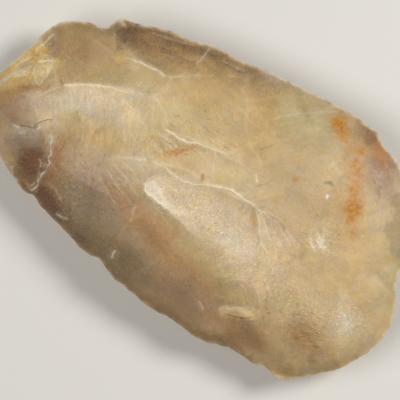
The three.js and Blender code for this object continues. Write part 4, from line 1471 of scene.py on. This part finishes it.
class BladeGrid:
    """The celt's points on the drawing, the upper ones first, and the triangles between them."""

    def __init__(self, along, across):
        self.bearing, self.share = ring_grid(along, across)
        self.to_margin = margin.at(margin.radii, self.bearing)
        self.edge_x = CROWN[0] + self.to_margin * np.cos(self.bearing)
        self.edge_y = CROWN[1] + self.to_margin * np.sin(self.bearing)
        scallops = SCALLOP * (1 - np.abs(waves(self.edge_x, self.edge_y, *SCALLOP_WAVES))).clip(-1, 1)
        scallops += SMALL_SCALLOP * (0.5 + 0.5 * waves(self.edge_x, self.edge_y, *SMALL_SCALLOP_WAVES))
        self.to_margin -= scallops.clip(0, None)
        self.x = CROWN[0] + self.share * self.to_margin * np.cos(self.bearing)
        self.y = CROWN[1] + self.share * self.to_margin * np.sin(self.bearing)

        # The under face has all the points of the margin, and inside it only some of the grid's.
        rows, columns = np.divmod(np.arange(len(self.x)), along + 1)
        self.on_margin = self.share == 1
        kept = (rows % UNDER_STEP == 0) & (columns % UNDER_STEP == 0)
        self.inner = np.flatnonzero(~self.on_margin & kept)
        upper_at = np.arange(len(self.x)).reshape(across + 1, along + 1)
        under_at = upper_at.copy()
        under_at.flat[self.inner] = len(self.x) + np.arange(len(self.inner))
        self.triangles = grid_triangles(upper_at, along, across, 1, True)
        self.triangles += grid_triangles(under_at, along, across, UNDER_STEP, False)

    def margin_line(self, where, face):
        """How far the margin's rise and fall lifts the points of a face."""
        jag = MARGIN_JAG * waves(self.edge_x[where], self.edge_y[where], *JAG_WAVES)
        near = np.exp(-((face.to_margin / JAG_REACH) ** 2))
        return margin_height(self.bearing[where]) * np.exp(-face.to_margin / SWAY_DEPTH) + jag * near

    def points(self, sizes, upper, under, raised):
        """The points in metres, stretched to the size of the solid."""
        everywhere = np.arange(len(self.x))
        edge_calm = np.clip(upper.to_margin / MARGIN_CALM, 0, 1)
        top = self.margin_line(everywhere, upper)
        top = top + np.where(self.on_margin, 0, upper.height + edge_calm * raised)
        bottom = np.maximum(self.margin_line(self.inner, under) - under.height, GROUND_OFF - UNDER_DROP)
        drawn = margin.high - margin.low
        middle = (margin.high + margin.low) / 2
        x = (self.x - middle[0]) * sizes.length / drawn[0]
        y = (self.y - middle[1]) * sizes.width / drawn[1]
        lift = UNDER_DROP - GROUND_OFF
        points = np.concatenate([
            np.stack([x, y, (lift + top) * MILLIMETRE], -1),
            np.stack([x[self.inner], y[self.inner], (lift + bottom) * MILLIMETRE], -1),
        ])
        points[:, 2] = np.clip(points[:, 2], 0, sizes.height)
        return points


def rim_shown(face, y):
    """Where light comes through the thin margin, more on the straighter side."""
    share = RIM_SHOWN + RIM_MORE_ON_STRAIGHTER_SIDE * np.tanh(y / RIM_TURNS_OVER)
    return np.exp(-((face.to_margin / RIM_WIDTH) ** 2)) * share


def make_blade(sizes, finish):
    """The celt's surface as one closed mesh: an upper and an under face that share the margin."""
    grid = BladeGrid(sizes.cells_along, sizes.cells_across)
    x, y, bearing, inner = grid.x, grid.y, grid.bearing, grid.inner
    ux, uy = x[inner], y[inner]
    none = np.zeros(len(inner))
    chip_depth = sizes.chip_depth / MILLIMETRE
    upper_chips = retouch(sizes.chips, UPPER_CHIP_SEED, chip_depth)
    under_chips = retouch(sizes.chips, UNDER_CHIP_SEED, chip_depth)
    lines = EdgeLines(x, y)
    upper = Face(x, y, bearing, grid.to_margin, UPPER_SCARS, upper_chips, UPPER_RISE,
                 zones(x, y, SHARP_RIDGES, 0.0), sizes)
    under = Face(ux, uy, bearing[inner], grid.to_margin[inner], UNDER_SCARS, under_chips, UNDER_DROP,
                 none + UNDER_SHARPNESS, sizes, UNDER_WANDER)

    mesh = bpy.data.meshes.new("flaked_blade")
    mesh.from_pydata(grid.points(sizes, upper, under, lines.raised).tolist(), [], grid.triangles)
    mesh.validate()
    mesh.shade_smooth()
    mesh.set_sharp_from_angle(angle=SHARP_ANGLE)

    # the upper face's colour takes the painted shade and light beside the lines
    shown_up = FlintShown(x, y, finish, True, upper.to_margin, upper.tone + LINE_TONE_AND_SHADE * lines.tone_and_painted_shade)
    shown_under = FlintShown(ux, uy, finish, False, under.to_margin, under.tone)
    streaked = zones(x, y, STREAKED_FLINT, LEAST_STREAKS) * upper.inside
    fields = {
        "scuffed": (zones(x, y, SCUFFED_FLINT, 0.0, 3), none + UNDER_SCUFFS),
        "ridge": (UPPER_RIDGE_SHOWN * upper.ridge, UNDER_RIDGE_SHOWN * under.ridge),
        "line_side": (lines.side, none + EdgeLines.REACH),
        "line_pale": (lines.pale, none),
        "streaked": (streaked, UNDER_STREAKS * under.inside),
        "iron": (shown_up.iron, shown_under.iron),
        "specks": (shown_up.specks, shown_under.specks),
        "frost": (zones(x, y, FROST_AND_SHEEN_ZONES, LEAST_FROST_AND_SHEEN), none + UNDER_FROST_AND_SHEEN),
        "rim": (rim_shown(upper, y), rim_shown(under, uy)),
    }
    for name, (above, below) in fields.items():
        write_attribute(mesh, name, "FLOAT", "value", np.concatenate([above, below]))
    colours = np.concatenate([shown_up.colour, shown_under.colour])
    colours = np.column_stack([colours, np.ones(len(colours))])
    write_attribute(mesh, "flint_colour", "FLOAT_COLOR", "color", colours)
    flow = [np.concatenate([above, below]) for above, below in (
        (upper.reach, under.reach), (upper.sweep, under.sweep), (upper.blow, under.blow + UNDER_BLOWS_FROM))]
    write_attribute(mesh, "flow", "FLOAT_VECTOR", "vector", np.column_stack(flow))
    return mesh


class CELT_OT_blade(bpy.types.Operator):
    """Makes the flaked and partly ground blade of flint"""

    bl_idname = "celt.blade"
    bl_label = "Flaked Blade"

    def execute(self, context):
        scene = context.scene
        mesh = make_blade(scene.celt_blade, scene.celt_finish)
        blade = bpy.data.objects.new("flaked_blade", mesh)
        scene.collection.objects.link(blade)
        mesh.materials.append(flint_material(scene.celt_finish))
        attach(blade, "root")
        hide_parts("celt")
        return {"FINISHED"}


def plain_material(name, colour, roughness):
    material = bpy.data.materials.new(name)
    board = NodeBoard(material)
    surface = board.add("ShaderNodeBsdfPrincipled", {"Base Color": opaque(colour), "Roughness": roughness})
    board.add("ShaderNodeOutputMaterial", {"Surface": surface.outputs[0]})
    return material


def add_area_light(scene, name, power, size, position, target):
    light = bpy.data.lights.new(name, "AREA")
    light.energy = power
    light.shape = "DISK"
    light.size = size
    lamp = bpy.data.objects.new(name, light)
    lamp.location = position
    lamp.rotation_euler = (target - position).to_track_quat("-Z", "Y").to_euler()
    scene.collection.objects.link(lamp)


class CELT_OT_studio(bpy.types.Operator):
    """Lays out the plain floor, the soft lights and the camera that looks down on the celt"""

    bl_idname = "celt.studio"
    bl_label = "Studio"

    def execute(self, context):
        scene = context.scene
        studio = scene.celt_studio
        half = studio.floor_size / 2
        floor_mesh = bpy.data.meshes.new("floor")
        corners = [(-half, -half, 0), (half, -half, 0), (half, half, 0), (-half, half, 0)]
        floor_mesh.from_pydata(corners, [], [(0, 1, 2, 3)])
        floor = bpy.data.objects.new("floor", floor_mesh)
        floor.location.z = CAD_BOX[0][2]
        scene.collection.objects.link(floor)
        floor_mesh.materials.append(plain_material("floor_paper", studio.floor_colour, FLOOR_ROUGHNESS))

        heading = studio.view_heading
        picture_up = Vector((-math.sin(heading), math.cos(heading), 0))
        picture_right = Vector((math.cos(heading), math.sin(heading), 0))
        margin_plane = (UNDER_DROP - GROUND_OFF) * MILLIMETRE
        target = Vector((*studio.view_centre, margin_plane))

        lens = bpy.data.cameras.new("camera")
        lens.lens = studio.focal_length
        lens.sensor_width = SENSOR_WIDTH
        distance = studio.focal_length / SENSOR_WIDTH * studio.view_width
        camera = bpy.data.objects.new("camera", lens)
        camera.location = target + Vector((0, 0, distance))
        camera.rotation_euler = (0, 0, heading)
        scene.collection.objects.link(camera)
        scene.camera = camera

        for name, power, size, (right, up, above) in (
            ("key_light", studio.key_light, KEY_SIZE, KEY_PLACE),
            ("fill_light", studio.fill_light, FILL_SIZE, FILL_PLACE),
        ):
            place = target + right * picture_right + up * picture_up + Vector((0, 0, above))
            add_area_light(scene, name, power, size, place, target)

        world = bpy.data.worlds.new("surround")
        world.use_nodes = True
        background = world.node_tree.nodes["Background"]
        background.inputs["Color"].default_value = SURROUND_COLOUR
        background.inputs["Strength"].default_value = studio.surround
        scene.world = world
        scene.view_settings.view_transform = "Standard"
        return {"FINISHED"}


class CELT_PT_panel(bpy.types.Panel):
    """Lists the settings and the pieces of the celt"""

    bl_label = "Flint Celt"
    bl_idname = "CELT_PT_panel"
    bl_space_type = "VIEW_3D"
    bl_region_type = "UI"
    bl_category = "Flint Celt"

    def draw(self, context):
        scene = context.scene
        for title, group, operator in (
            ("Blade", scene.celt_blade, CELT_OT_blade.bl_idname),
            ("Finish", scene.celt_finish, None),
            ("Studio", scene.celt_studio, CELT_OT_studio.bl_idname),
        ):
            box = self.layout.box()
            box.label(text=title)
            for name in group.__annotations__:
                box.prop(group, name)
            if operator:
                box.operator(operator)


CLASSES = (
    CeltBladeSettings,
    FlintFinishSettings,
    StudioSettings,
    CELT_OT_blade,
    CELT_OT_studio,
    CELT_PT_panel,
)


def register():
    for cls in CLASSES:
        bpy.utils.register_class(cls)
    bpy.types.Scene.celt_blade = PointerProperty(type=CeltBladeSettings)
    bpy.types.Scene.celt_finish = PointerProperty(type=FlintFinishSettings)
    bpy.types.Scene.celt_studio = PointerProperty(type=StudioSettings)


def unregister():
    del bpy.types.Scene.celt_studio
    del bpy.types.Scene.celt_finish
    del bpy.types.Scene.celt_blade
    for cls in reversed(CLASSES):
        bpy.utils.unregister_class(cls)


def main():
    register()
    bpy.ops.celt.blade()
    bpy.ops.celt.studio()


if __name__ == "__main__":
    main()
